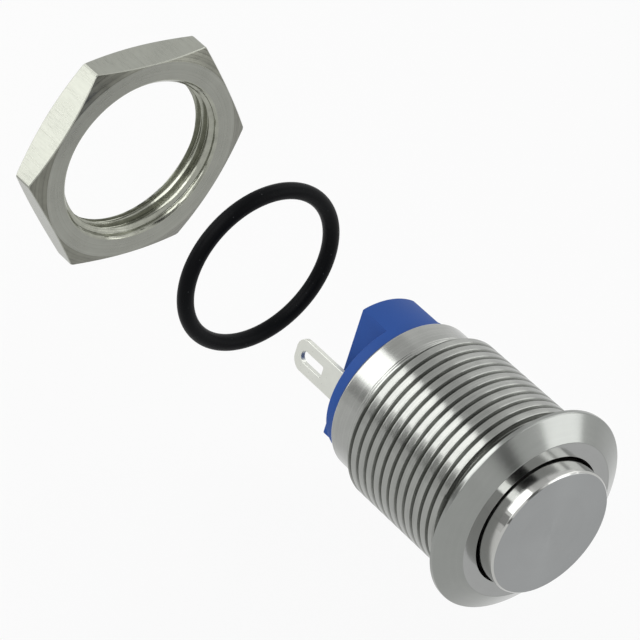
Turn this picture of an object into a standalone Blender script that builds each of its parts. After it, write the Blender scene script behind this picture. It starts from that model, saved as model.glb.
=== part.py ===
"""Anti-vandal push button for a 12 mm panel hole, laid out with its nut and sealing ring off the barrel.

The button looks along -Y and every round piece is turned about the Y axis. Stations along that axis are
measured from the rear face of the head, which seats on the panel, and grow towards the solder lugs.
All lengths are in metres.
"""
import math

import bpy
import bmesh
from mathutils import Matrix

# Head and button cap
HEAD_RIM = 0.0003
HEAD_HEIGHT = 0.00125
HEAD_OVERHANG = 0.00106
HEAD_RING_WIDTH = 0.00084
HEAD_WALL = 0.00042
CAP_GAP = 0.00031
CAP_PROUD = 0.00135
CAP_DEPTH = 0.0036
CAP_TOP = 0.0008
CAP_WALL = 0.00065
CAP_EDGE = 0.00012
TRAVEL = 0.0012
STOP_CLEARANCE = 0.0004

# Threaded barrel
THREAD_RADIUS = 0.00594
UNDERCUT_DEPTH = 0.00084
REAR_STEP = 0.00054
REAR_RIM = 0.00035
REAR_LENGTH = 0.0024
REAR_EDGE = 0.00022
THREAD_LEAD_IN = 0.00018
THREAD_RELIEF_DEPTH = 0.00012
THREAD_RELIEF_WIDTH = 0.0002
SEAL_RECESS_DEPTH = 0.0002
SEAL_RECESS_MARGIN = 0.00015
UNDERCUT_SLACK = 0.0001
WEB_THICKNESS = 0.0008

# Stem, its guide and its seal
STEM_RADIUS = 0.0012
STEM_TAIL = 0.0010
BUSH_WALL = 0.0003
BUSH_FLANGE_WIDTH = 0.00085
BUSH_FLANGE = 0.0003
BUSH_TAIL = 0.0009
SHAFT_SEAL_CORD = 0.0006
WASHER_THICKNESS = 0.00022
CLIP_THICKNESS = 0.00025
CLIP_GROOVE_DEPTH = 0.0003
CLIP_WIDTH = 0.0009
CLIP_SPACE = 0.00015

# Springs
RETURN_WIRE = 0.0004
RETURN_SPRING_RADIUS = 0.0023
RETURN_TURNS = 5
CONTACT_WIRE = 0.0002
CONTACT_SPRING_LENGTH = 0.0018
CONTACT_SPRING_RADIUS = 0.0009
CONTACT_TURNS = 5
CLOSED_COIL_PITCH = 1.2

# Contacts
CARRIER_RADIUS = 0.0024
CARRIER_FLOOR = 0.0009
POST_RADIUS = 0.00055
POST_TAIL = 0.0002
POST_CLIP_WIDTH = 0.00036
POST_GROOVE_DEPTH = 0.00015
BRIDGE_END = 0.0007
BRIDGE_WIDTH = 0.0016
BRIDGE_THICKNESS = 0.0003
OVERTRAVEL = 0.0003
CLOSED_GAP = 0.00003
CONTACT_INSET = 0.0010
CONTACT_RADIUS = 0.00055
CONTACT_HEAD = 0.00025
CONTACT_SHANK = 0.0003
BRIDGE_RIVET_HEAD = 0.00015

# Rear base and solder lugs
BASE_FLOOR = 0.00246
BASE_PROUD = 0.0009
BASE_SEAT_DEPTH = 0.0009
BASE_LEDGE = 0.0003
BASE_PLUG_WALL = 0.00075
POCKET_DEPTH = 0.00235
GASKET_THICKNESS = 0.0004
BARRIER_CLEARANCE = 0.00118
BARRIER_HEIGHT = 0.0024
TERMINAL_EDGE = 0.0016
TERMINAL_THICKNESS = 0.00035
TERMINAL_WIDTH = 0.0022
TERMINAL_LENGTH = 0.00525
TERMINAL_FOOT = 0.0018
LUG_TIP_CORNER = 0.00082
SOLDER_SLOT_LENGTH = 0.0021
SOLDER_SLOT_WIDTH = 0.0008
SOLDER_SLOT_INSET = 0.00055

# Pieces off the barrel
RING_STATION = 0.0267
RING_CORD = 0.0011
NUT_STATION = 0.0399
NUT_WALL = 0.00151
NUT_THICKNESS = 0.0024
NUT_CLOCK = math.radians(21.6)
NUT_CHAMFER_ANGLE = math.radians(20)
NUT_FACE_MARGIN = 0.00005
NUT_BORE_EDGE = 0.00012

# Clearances between neighbours
SEAT_GAP = 0.00002
RUN_GAP = 0.00005

# Facets round a turned piece
ROUND_STEPS = 48
SMALL_STEPS = 32
RIVET_STEPS = 16
TORUS_STEPS = 60
COIL_STEPS = 12
MERGE = 0.0000001
CUT_MARGIN = 0.001

# Stations of the head, the cap and the web that divides the housing
HEAD_FRONT = -HEAD_HEIGHT
CAP_FACE = HEAD_FRONT - CAP_PROUD
SKIRT_END = CAP_FACE + CAP_DEPTH
WEB_FRONT = SKIRT_END + TRAVEL + STOP_CLEARANCE
WEB_REAR = WEB_FRONT + WEB_THICKNESS

# Stations of the stem and what is on it
BUSH_REAR = WEB_REAR + BUSH_TAIL
BUSH_FLANGE_FRONT = WEB_FRONT - SEAT_GAP - BUSH_FLANGE
CLIP_FRONT = BUSH_REAR + SEAT_GAP
CLIP_REAR = CLIP_FRONT + CLIP_THICKNESS
STEM_END = CLIP_REAR + STEM_TAIL
CARRIER_FRONT = CLIP_REAR + CLIP_SPACE
CARRIER_BORE_END = STEM_END + SEAT_GAP
CARRIER_SEAT = CARRIER_BORE_END + CARRIER_FLOOR

# Stations of the contacts and the base
BRIDGE_FRONT = CARRIER_SEAT + CONTACT_SPRING_LENGTH
BRIDGE_REAR = BRIDGE_FRONT + BRIDGE_THICKNESS
MOVING_CONTACT_FACE = BRIDGE_REAR + CONTACT_HEAD
FIXED_CONTACT_FACE = MOVING_CONTACT_FACE + TRAVEL - OVERTRAVEL + CLOSED_GAP
FOOT_FRONT = FIXED_CONTACT_FACE + CONTACT_HEAD
FOOT_REAR = FOOT_FRONT + TERMINAL_THICKNESS
POCKET_FLOOR = FOOT_REAR + SEAT_GAP
BASE_REAR = POCKET_FLOOR + BASE_FLOOR
BARREL_REAR = BASE_REAR - BASE_PROUD
BARRIER_TOP = BASE_REAR + BARRIER_HEIGHT
BASE_SEAT = BARREL_REAR - BASE_SEAT_DEPTH

# Radii that follow from the thread and the fits
HEAD_RADIUS = THREAD_RADIUS + HEAD_OVERHANG
UNDERCUT_RADIUS = THREAD_RADIUS - UNDERCUT_DEPTH
CAP_HOLE_RADIUS = UNDERCUT_RADIUS - HEAD_WALL
CAP_RADIUS = CAP_HOLE_RADIUS - CAP_GAP
REAR_RADIUS = THREAD_RADIUS - REAR_STEP
BASE_BORE_RADIUS = REAR_RADIUS - REAR_RIM
BASE_RADIUS = BASE_BORE_RADIUS - RUN_GAP
BUSH_BORE_RADIUS = STEM_RADIUS + RUN_GAP
SEAL_POCKET_RADIUS = BUSH_BORE_RADIUS + SHAFT_SEAL_CORD
BUSH_RADIUS = SEAL_POCKET_RADIUS + BUSH_WALL
CHAMBER_RADIUS = BASE_RADIUS - BASE_LEDGE
PLUG_RADIUS = CHAMBER_RADIUS - RUN_GAP
POCKET_RADIUS = PLUG_RADIUS - BASE_PLUG_WALL
RING_INNER_RADIUS = UNDERCUT_RADIUS + RUN_GAP
RECESS_RADIUS = RING_INNER_RADIUS + RING_CORD + SEAL_RECESS_MARGIN
NUT_BORE_RADIUS = THREAD_RADIUS + RUN_GAP
NUT_FLAT_OFFSET = NUT_BORE_RADIUS + NUT_WALL

# Stations of the thread, and places across the axis
UNDERCUT_END = RING_CORD - SEAL_RECESS_DEPTH + UNDERCUT_SLACK
THREAD_REAR = BARREL_REAR - REAR_LENGTH
TERMINAL_OFFSET = BASE_RADIUS - TERMINAL_EDGE
CONTACT_OFFSET = TERMINAL_OFFSET - CONTACT_INSET
BARRIER_HALF = TERMINAL_OFFSET - TERMINAL_THICKNESS / 2 - BARRIER_CLEARANCE

# Local X, Y and Z of a flat outline drawn across, and drawn along, the axis
ACROSS_AXIS = Matrix(((1, 0, 0, 0), (0, 0, -1, 0), (0, 1, 0, 0), (0, 0, 0, 1)))
ALONG_SIDE = Matrix(((0, 0, 1, 0), (1, 0, 0, 0), (0, 1, 0, 0), (0, 0, 0, 1)))
TURNING = Matrix.Rotation(-math.pi / 2, 4, "X")


def clear_scene():
    """Empties the file of the objects and collections that it opened with."""
    for obj in list(bpy.data.objects):
        bpy.data.objects.remove(obj, do_unlink=True)
    for group in list(bpy.data.collections):
        bpy.data.collections.remove(group)


def new_collection(name):
    group = bpy.data.collections.new(name)
    bpy.context.scene.collection.children.link(group)
    return group


def look(name, colour, roughness, metallic):
    """A plain Principled material of one colour."""
    material = bpy.data.materials.new(name)
    material.use_nodes = True
    shader = material.node_tree.nodes["Principled BSDF"]
    shader.inputs["Base Color"].default_value = (*colour, 1)
    shader.inputs["Roughness"].default_value = roughness
    shader.inputs["Metallic"].default_value = metallic
    material.diffuse_color = (*colour, 1)
    return material


class Workshop:
    """The two collections that pieces and cutters go to, and the looks that pieces take."""

    def __init__(self):
        self.parts = new_collection("anti_vandal_push_button")
        self.cutters = new_collection("cutters")
        self.looks = {
            "stainless": look("stainless", (0.50, 0.51, 0.49), 0.28, 1),
            "polished": look("polished_stainless", (0.58, 0.58, 0.56), 0.18, 1),
            "nickel": look("nickel_plate", (0.60, 0.59, 0.54), 0.30, 1),
            "spring": look("spring_steel", (0.46, 0.46, 0.47), 0.30, 1),
            "brass": look("brass", (0.72, 0.56, 0.28), 0.32, 1),
            "silver": look("silver_contact", (0.86, 0.85, 0.82), 0.25, 1),
            "tinned": look("silver_plate", (0.80, 0.80, 0.76), 0.42, 1),
            "blue": look("blue_moulding", (0.045, 0.10, 0.33), 0.48, 0),
            "white": look("white_moulding", (0.78, 0.77, 0.72), 0.50, 0),
            "rubber": look("black_rubber", (0.012, 0.013, 0.014), 0.45, 0),
            "red_rubber": look("silicone", (0.50, 0.16, 0.10), 0.55, 0),
        }

    def keep(self, obj, finish):
        """Files a finished piece under the parts, with its look."""
        self.parts.objects.link(obj)
        obj.data.materials.clear()
        obj.data.materials.append(self.looks[finish])
        return obj

    def keep_cutter(self, obj):
        """Files a cutter where renders and the build leave it out."""
        self.cutters.objects.link(obj)
        obj.hide_render = True
        obj.display_type = "WIRE"
        return obj


def arc(centre, radius, start, end, steps):
    """Points on an arc, both ends included, with its angles in degrees."""
    found = []
    for step in range(steps + 1):
        angle = math.radians(start + (end - start) * step / steps)
        found.append((centre[0] + radius * math.cos(angle), centre[1] + radius * math.sin(angle)))
    return found


def smooth(mesh, sharp_over=math.radians(28)):
    mesh.shade_smooth()
    mesh.set_sharp_from_angle(angle=sharp_over)


def turned(name, outline, steps, station=0.0):
    """A piece turned about the Y axis.

    The outline's points are (radius, station). They run from the rear along the outer side to the front,
    then back along the inner side. An outline that starts and ends on the axis stays open there.
    """
    mesh = bpy.data.meshes.new(name)
    points = [(radius, 0, along) for radius, along in outline]
    edges = [(index, index + 1) for index in range(len(points) - 1)]
    solid_core = outline[0][0] == 0 and outline[-1][0] == 0
    if not solid_core:
        edges.append((len(points) - 1, 0))
    mesh.from_pydata(points, edges, [])
    obj = bpy.data.objects.new(name, mesh)
    obj.matrix_world = Matrix.Translation((0, station, 0)) @ TURNING
    screw = obj.modifiers.new("turn", "SCREW")
    screw.axis = "Z"
    screw.steps = steps
    screw.render_steps = steps
    screw.use_merge_vertices = True
    screw.merge_threshold = MERGE
    screw.use_smooth_shade = True
    return obj


def plate(name, outlines, thickness, frame):
    """A flat piece of this thickness, from closed outlines in its own X and Y. The outlines inside are holes."""
    curve = bpy.data.curves.new(name, "CURVE")
    curve.dimensions = "2D"
    curve.fill_mode = "BOTH"
    curve.extrude = thickness / 2
    for outline in outlines:
        spline = curve.splines.new("POLY")
        spline.points.add(len(outline) - 1)
        for point, place in zip(spline.points, outline):
            point.co = (place[0], place[1], 0, 1)
        spline.use_cyclic_u = True
    return as_mesh(name, curve, frame)


def as_mesh(name, curve, frame):
    """The mesh that a curve makes, with its caps joined to its sides."""
    guide = bpy.data.objects.new(name + "_outline", curve)
    bpy.context.scene.collection.objects.link(guide)
    graph = bpy.context.evaluated_depsgraph_get()
    mesh = bpy.data.meshes.new_from_object(guide.evaluated_get(graph))
    mesh.name = name
    bpy.data.objects.remove(guide)
    bpy.data.curves.remove(curve)
    work = bmesh.new()
    work.from_mesh(mesh)
    bmesh.ops.remove_doubles(work, verts=work.verts, dist=MERGE)
    bmesh.ops.recalc_face_normals(work, faces=work.faces)
    work.to_mesh(mesh)
    work.free()
    obj = bpy.data.objects.new(name, mesh)
    obj.matrix_world = frame
    return obj


def block(name, low, high):
    """A box between two corners."""
    mesh = bpy.data.meshes.new(name)
    work = bmesh.new()
    bmesh.ops.create_cube(work, size=1)
    sides = [high[axis] - low[axis] for axis in range(3)]
    middle = [(high[axis] + low[axis]) / 2 for axis in range(3)]
    bmesh.ops.scale(work, vec=sides, verts=work.verts)
    bmesh.ops.translate(work, vec=middle, verts=work.verts)
    work.to_mesh(mesh)
    work.free()
    return bpy.data.objects.new(name, mesh)


def rod(name, radius, low, high, place, steps):
    """A cylinder along Y between two stations, for cutting. Its place is the X and Z of its axis."""
    mesh = bpy.data.meshes.new(name)
    work = bmesh.new()
    bmesh.ops.create_cone(
        work, cap_ends=True, segments=steps, radius1=radius, radius2=radius, depth=high - low
    )
    work.to_mesh(mesh)
    work.free()
    obj = bpy.data.objects.new(name, mesh)
    obj.matrix_world = Matrix.Translation((place[0], (low + high) / 2, place[1])) @ TURNING
    return obj


def boolean(obj, cutter, operation="DIFFERENCE"):
    cut = obj.modifiers.new(cutter.name, "BOOLEAN")
    cut.operation = operation
    cut.object = cutter
    cut.solver = "EXACT"


def coil(name, wire, radius, turns, front, rear, taken):
    """A compression spring with closed end coils, between two stations."""
    curve = bpy.data.curves.new(name, "CURVE")
    curve.dimensions = "3D"
    curve.bevel_depth = wire / 2
    curve.bevel_resolution = 2
    curve.use_fill_caps = True
    free = rear - front - wire - 2 * SEAT_GAP
    closed = wire * CLOSED_COIL_PITCH
    open_pitch = (free - 2 * closed) / (turns - 2)
    count = turns * COIL_STEPS
    spline = curve.splines.new("POLY")
    spline.points.add(count)
    for index, point in enumerate(spline.points):
        turn = index / COIL_STEPS
        climb = min(turn, 1) * closed + max(turn - turns + 1, 0) * closed
        climb += min(max(turn - 1, 0), turns - 2) * open_pitch
        angle = 2 * math.pi * turn
        along = front + SEAT_GAP + wire / 2 + climb
        point.co = (radius * math.cos(angle), along, radius * math.sin(angle), 1)
    obj = bpy.data.objects.new(name, curve)
    taken.keep(obj, "spring")
    return obj


def ring(name, inner_radius, cord, steps, sides, station):
    """A rubber ring of round section about the Y axis."""
    bpy.ops.mesh.primitive_torus_add(
        major_radius=inner_radius + cord / 2,
        minor_radius=cord / 2,
        major_segments=steps,
        minor_segments=sides,
        location=(0, station, 0),
        rotation=(math.pi / 2, 0, 0),
    )
    obj = bpy.context.object
    obj.name = name
    obj.data.name = name
    obj.users_collection[0].objects.unlink(obj)
    smooth(obj.data)
    return obj


def clip_outline(outer_radius, inner_radius, mouth):
    """A snap ring's outline: a band that stays open by a mouth of this many degrees."""
    start, end = 90 + mouth / 2, 450 - mouth / 2
    outline = arc((0, 0), outer_radius, start, end, RIVET_STEPS)
    outline += arc((0, 0), inner_radius, end, start, RIVET_STEPS)
    return outline


def make_housing(shop):
    """The one-piece head and threaded barrel."""
    ring_radius = CAP_HOLE_RADIUS + HEAD_RING_WIDTH
    web_hole = BUSH_RADIUS + SEAT_GAP
    outline = [
        (BASE_BORE_RADIUS, BARREL_REAR),
        (REAR_RADIUS - REAR_EDGE, BARREL_REAR),
        (REAR_RADIUS, BARREL_REAR - REAR_EDGE),
        (REAR_RADIUS, THREAD_REAR + THREAD_RELIEF_WIDTH),
        (REAR_RADIUS - THREAD_RELIEF_DEPTH, THREAD_REAR + THREAD_RELIEF_WIDTH),
        (REAR_RADIUS - THREAD_RELIEF_DEPTH, THREAD_REAR),
        (THREAD_RADIUS - THREAD_LEAD_IN, THREAD_REAR),
        (THREAD_RADIUS, THREAD_REAR - THREAD_LEAD_IN),
        (THREAD_RADIUS, UNDERCUT_END),
        (UNDERCUT_RADIUS, UNDERCUT_END),
        (UNDERCUT_RADIUS, -SEAL_RECESS_DEPTH),
        (RECESS_RADIUS, -SEAL_RECESS_DEPTH),
        (RECESS_RADIUS, 0),
        (HEAD_RADIUS, 0),
        (HEAD_RADIUS, -HEAD_RIM),
        (ring_radius, HEAD_FRONT),
        (CAP_HOLE_RADIUS, HEAD_FRONT),
        (CAP_HOLE_RADIUS, WEB_FRONT),
        (web_hole, WEB_FRONT),
        (web_hole, WEB_REAR),
        (CHAMBER_RADIUS, WEB_REAR),
        (CHAMBER_RADIUS, BASE_SEAT),
        (BASE_BORE_RADIUS, BASE_SEAT),
    ]
    housing = turned("bezel_housing", outline, ROUND_STEPS)
    return shop.keep(housing, "stainless")


def make_cap(shop):
    """The button cap with its skirt, and the stem that carries the contacts."""
    groove = STEM_RADIUS - CLIP_GROOVE_DEPTH
    outline = [
        (0, STEM_END),
        (STEM_RADIUS, STEM_END),
        (STEM_RADIUS, CLIP_REAR + SEAT_GAP),
        (groove, CLIP_REAR + SEAT_GAP),
        (groove, CLIP_FRONT - SEAT_GAP),
        (STEM_RADIUS, CLIP_FRONT - SEAT_GAP),
        (STEM_RADIUS, CAP_FACE + CAP_TOP),
        (CAP_RADIUS - CAP_WALL, CAP_FACE + CAP_TOP),
        (CAP_RADIUS - CAP_WALL, SKIRT_END),
        (CAP_RADIUS, SKIRT_END),
        (CAP_RADIUS, CAP_FACE + CAP_EDGE),
        (CAP_RADIUS - CAP_EDGE, CAP_FACE),
        (0, CAP_FACE),
    ]
    return shop.keep(turned("button_cap", outline, ROUND_STEPS), "polished")


def make_bush(shop):
    """The flanged bush in the web that guides the stem and holds its seal."""
    flange = BUSH_RADIUS + BUSH_FLANGE_WIDTH
    pocket_front = BUSH_REAR - SHAFT_SEAL_CORD - WASHER_THICKNESS - 3 * SEAT_GAP
    outline = [
        (SEAL_POCKET_RADIUS, BUSH_REAR),
        (BUSH_RADIUS, BUSH_REAR),
        (BUSH_RADIUS, BUSH_FLANGE_FRONT + BUSH_FLANGE),
        (flange, BUSH_FLANGE_FRONT + BUSH_FLANGE),
        (flange, BUSH_FLANGE_FRONT),
        (BUSH_BORE_RADIUS, BUSH_FLANGE_FRONT),
        (BUSH_BORE_RADIUS, pocket_front),
        (SEAL_POCKET_RADIUS, pocket_front),
    ]
    bush = turned("guide_bush", outline, SMALL_STEPS)
    cord = SHAFT_SEAL_CORD - 2 * SEAT_GAP
    seal_station = pocket_front + SEAT_GAP + SHAFT_SEAL_CORD / 2
    seal = ring("shaft_seal", BUSH_BORE_RADIUS + SEAT_GAP, cord, SMALL_STEPS, 8, seal_station)
    washer_front = BUSH_REAR - WASHER_THICKNESS - SEAT_GAP
    washer_outer = SEAL_POCKET_RADIUS - SEAT_GAP
    washer = turned(
        "seal_washer",
        [
            (BUSH_BORE_RADIUS, washer_front + WASHER_THICKNESS),
            (washer_outer, washer_front + WASHER_THICKNESS),
            (washer_outer, washer_front),
            (BUSH_BORE_RADIUS, washer_front),
        ],
        SMALL_STEPS,
    )
    return [shop.keep(bush, "brass"), shop.keep(seal, "red_rubber"), shop.keep(washer, "polished")]


def make_stem_clip(shop):
    """The snap ring that keeps the stem from leaving the bush."""
    inner = STEM_RADIUS - CLIP_GROOVE_DEPTH + SEAT_GAP
    outline = clip_outline(inner + CLIP_WIDTH, inner, 80)
    frame = Matrix.Translation((0, (CLIP_FRONT + CLIP_REAR) / 2, 0)) @ ACROSS_AXIS
    return shop.keep(plate("stem_clip", [outline], CLIP_THICKNESS, frame), "spring")


def make_carrier(shop):
    """The insulating carrier on the stem's end, with the post that the contact bridge slides on."""
    groove = POST_RADIUS - POST_GROOVE_DEPTH
    groove_front = BRIDGE_REAR + SEAT_GAP / 2
    groove_rear = groove_front + CLIP_THICKNESS + SEAT_GAP
    bore = STEM_RADIUS + SEAT_GAP
    outline = [
        (0, groove_rear + POST_TAIL),
        (POST_RADIUS, groove_rear + POST_TAIL),
        (POST_RADIUS, groove_rear),
        (groove, groove_rear),
        (groove, groove_front),
        (POST_RADIUS, groove_front),
        (POST_RADIUS, CARRIER_SEAT),
        (CARRIER_RADIUS, CARRIER_SEAT),
        (CARRIER_RADIUS, CARRIER_FRONT),
        (bore, CARRIER_FRONT),
        (bore, CARRIER_BORE_END),
        (0, CARRIER_BORE_END),
    ]
    carrier = shop.keep(turned("contact_carrier", outline, SMALL_STEPS), "white")
    inner = groove + SEAT_GAP
    frame = Matrix.Translation((0, (groove_front + groove_rear) / 2, 0)) @ ACROSS_AXIS
    outline = clip_outline(inner + POST_CLIP_WIDTH, inner, 80)
    clip = plate("bridge_clip", [outline], CLIP_THICKNESS, frame)
    return [carrier, shop.keep(clip, "spring")]


def rivet(name, place, head_face, foot_face, side):
    """A contact rivet with a low dome, its shank through the strip that holds it.

    The head's face is at one station and the shank ends at another. The side is -1 for a head that looks
    to the front and 1 for one that looks to the rear. The place is the X of its axis.
    """
    head_root = head_face - side * CONTACT_HEAD
    outline = [
        (0, head_face),
        (CONTACT_RADIUS * 0.55, head_face),
        (CONTACT_RADIUS, head_face - side * CONTACT_HEAD * 0.45),
        (CONTACT_RADIUS, head_root + side * SEAT_GAP),
        (CONTACT_SHANK, head_root + side * SEAT_GAP),
        (CONTACT_SHANK, foot_face),
        (0, foot_face),
    ]
    if side < 0:
        outline.reverse()
    obj = turned(name, outline, RIVET_STEPS)
    obj.matrix_world = Matrix.Translation((place, 0, 0)) @ TURNING
    return obj


def make_bridge(shop):
    """The contact bridge across both fixed contacts, with its two moving contacts."""
    half, rounding = CONTACT_OFFSET + BRIDGE_END, BRIDGE_WIDTH / 2
    outline = arc((half - rounding, 0), rounding, -90, 90, 8)
    outline += arc((rounding - half, 0), rounding, 90, 270, 8)
    holes = [arc((0, 0), POST_RADIUS + RUN_GAP, 0, 360 - 360 / RIVET_STEPS, RIVET_STEPS - 1)]
    for side in (-1, 1):
        centre = (side * CONTACT_OFFSET, 0)
        holes.append(arc(centre, CONTACT_SHANK + SEAT_GAP, 0, 360 - 360 / RIVET_STEPS, RIVET_STEPS - 1))
    frame = Matrix.Translation((0, (BRIDGE_FRONT + BRIDGE_REAR) / 2, 0)) @ ACROSS_AXIS
    pieces = [shop.keep(plate("contact_bridge", [outline, *holes], BRIDGE_THICKNESS, frame), "brass")]
    for name, side in (("moving_contact_left", -1), ("moving_contact_right", 1)):
        shank_end = BRIDGE_FRONT - BRIDGE_RIVET_HEAD
        contact = rivet(name, side * CONTACT_OFFSET, MOVING_CONTACT_FACE, shank_end, 1)
        pieces.append(shop.keep(contact, "silver"))
    return pieces


def make_base(shop):
    """The moulded base: a plug with the contact pocket, a flange, and the barrier between the lugs."""
    flange_front = BASE_SEAT + GASKET_THICKNESS + 2 * SEAT_GAP
    plug_front = POCKET_FLOOR - POCKET_DEPTH
    outline = [
        (0, BARRIER_TOP),
        (BASE_RADIUS, BARRIER_TOP),
        (BASE_RADIUS, flange_front),
        (PLUG_RADIUS, flange_front),
        (PLUG_RADIUS, plug_front),
        (POCKET_RADIUS, plug_front),
        (POCKET_RADIUS, POCKET_FLOOR),
        (0, POCKET_FLOOR),
    ]
    base = turned("rear_base", outline, ROUND_STEPS)
    reach = BASE_RADIUS + CUT_MARGIN
    slot_half = TERMINAL_WIDTH / 2 + SEAT_GAP
    blade_half = TERMINAL_THICKNESS / 2 + SEAT_GAP
    for name, side in (("left", -1), ("right", 1)):
        across = sorted((side * BARRIER_HALF, side * reach))
        shoulder = block(
            "base_shoulder_cutter_" + name,
            (across[0], BASE_REAR, -reach),
            (across[1], BARRIER_TOP + CUT_MARGIN, reach),
        )
        boolean(base, shop.keep_cutter(shoulder))
        middle = side * TERMINAL_OFFSET
        slot = block(
            "terminal_slot_cutter_" + name,
            (middle - blade_half, POCKET_FLOOR - CUT_MARGIN, -slot_half),
            (middle + blade_half, BASE_REAR + CUT_MARGIN, slot_half),
        )
        boolean(base, shop.keep_cutter(slot))
    gasket_inner = PLUG_RADIUS + SEAT_GAP
    gasket_front = BASE_SEAT + SEAT_GAP
    gasket = turned(
        "base_gasket",
        [
            (gasket_inner, gasket_front + GASKET_THICKNESS),
            (BASE_RADIUS, gasket_front + GASKET_THICKNESS),
            (BASE_RADIUS, gasket_front),
            (gasket_inner, gasket_front),
        ],
        ROUND_STEPS,
    )
    return [shop.keep(base, "blue"), shop.keep(gasket, "rubber")]


def make_terminal(shop, name, side):
    """A bent strip: its foot lies in the base's pocket and its blade ends in a solder lug."""
    inner_bend = 2 * SEAT_GAP
    outer_bend = inner_bend + TERMINAL_THICKNESS
    outer = TERMINAL_OFFSET + TERMINAL_THICKNESS / 2
    inner = TERMINAL_OFFSET - TERMINAL_THICKNESS / 2
    tip = BASE_REAR + TERMINAL_LENGTH
    foot_end = outer - TERMINAL_FOOT
    outline = [(foot_end, FOOT_FRONT)]
    outline += arc((outer - outer_bend, FOOT_FRONT + outer_bend), outer_bend, -90, 0, 5)
    outline += [(outer, tip), (inner, tip)]
    outline += arc((inner - inner_bend, FOOT_REAR + inner_bend), inner_bend, 0, -90, 2)
    outline += [(foot_end, FOOT_REAR)]
    outline = [(side * across, along) for across, along in outline]
    strip = plate(name, [outline], TERMINAL_WIDTH, Matrix.Identity(4))

    half = TERMINAL_WIDTH / 2
    corner = min(LUG_TIP_CORNER, half)
    wide = half + CUT_MARGIN
    low = FOOT_FRONT - CUT_MARGIN
    shape = [(low, -wide), (BASE_REAR, -wide), (BASE_REAR, -half)]
    shape += arc((tip - corner, corner - half), corner, -90, 0, 8)
    shape += arc((tip - corner, half - corner), corner, 0, 90, 8)
    shape += [(BASE_REAR, half), (BASE_REAR, wide), (low, wide)]
    blank_frame = Matrix.Translation((side * TERMINAL_OFFSET / 2, 0, 0)) @ ALONG_SIDE
    blank_depth = TERMINAL_OFFSET + TERMINAL_THICKNESS + 2 * CUT_MARGIN
    blank = plate(name + "_blank_cutter", [shape], blank_depth, blank_frame)
    boolean(strip, shop.keep_cutter(blank), "INTERSECT")

    slot_end = tip - SOLDER_SLOT_INSET
    slot_start = slot_end - SOLDER_SLOT_LENGTH
    slot_half = SOLDER_SLOT_WIDTH / 2
    opening = [(slot_start, -slot_half)]
    opening += arc((slot_end - slot_half, 0), slot_half, -90, 90, 8)
    opening += [(slot_start, slot_half)]
    slot_frame = Matrix.Translation((side * TERMINAL_OFFSET, 0, 0)) @ ALONG_SIDE
    slot_depth = TERMINAL_THICKNESS + 2 * CUT_MARGIN
    slot = plate(name + "_slot_cutter", [opening], slot_depth, slot_frame)
    boolean(strip, shop.keep_cutter(slot))

    place = (side * CONTACT_OFFSET, 0)
    hole = rod(
        name + "_rivet_cutter",
        CONTACT_SHANK + SEAT_GAP,
        FOOT_FRONT - CUT_MARGIN,
        FOOT_REAR + CUT_MARGIN,
        place,
        RIVET_STEPS,
    )
    boolean(strip, shop.keep_cutter(hole))
    return shop.keep(strip, "tinned")


def make_terminals(shop):
    """Both terminals, each with its fixed contact."""
    pieces = []
    for name, side in (("left", -1), ("right", 1)):
        pieces.append(make_terminal(shop, "terminal_" + name, side))
        contact = rivet(
            "fixed_contact_" + name, side * CONTACT_OFFSET, FIXED_CONTACT_FACE, FOOT_REAR, -1
        )
        pieces.append(shop.keep(contact, "silver"))
    return pieces


def make_nut(shop):
    """The thin hexagon nut, its corners turned back on both faces. Its origin is on its front face."""
    corner = NUT_FLAT_OFFSET / math.cos(math.pi / 6)
    face = NUT_FLAT_OFFSET - NUT_FACE_MARGIN
    reach = corner + CUT_MARGIN
    drop = (reach - face) * math.tan(NUT_CHAMFER_ANGLE)
    mouth = NUT_BORE_RADIUS + NUT_BORE_EDGE
    outline = [
        (mouth, NUT_THICKNESS),
        (face, NUT_THICKNESS),
        (reach, NUT_THICKNESS - drop),
        (reach, drop),
        (face, 0),
        (mouth, 0),
        (NUT_BORE_RADIUS, NUT_BORE_EDGE),
        (NUT_BORE_RADIUS, NUT_THICKNESS - NUT_BORE_EDGE),
    ]
    nut = turned("lock_nut", outline, ROUND_STEPS, NUT_STATION)
    prism = rod(
        "nut_flats_cutter", corner, -CUT_MARGIN, NUT_THICKNESS + CUT_MARGIN, (0, 0), 6
    )
    corner_one = Matrix.Rotation(NUT_CLOCK, 4, "Y") @ prism.matrix_world
    prism.matrix_world = Matrix.Translation((0, NUT_STATION, 0)) @ corner_one
    boolean(nut, shop.keep_cutter(prism), "INTERSECT")
    return shop.keep(nut, "nickel")


def carry(name, pieces, station=0.0):
    """Parents pieces to an empty on the axis that they slide along."""
    carrier = bpy.data.objects.new(name, None)
    carrier.empty_display_size = HEAD_RADIUS
    carrier.matrix_world = Matrix.Translation((0, station, 0))
    bpy.context.scene.collection.objects.link(carrier)
    for piece in pieces:
        placed = piece.matrix_world.copy()
        piece.parent = carrier
        piece.matrix_parent_inverse = carrier.matrix_world.inverted()
        piece.matrix_world = placed
    return carrier


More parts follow.
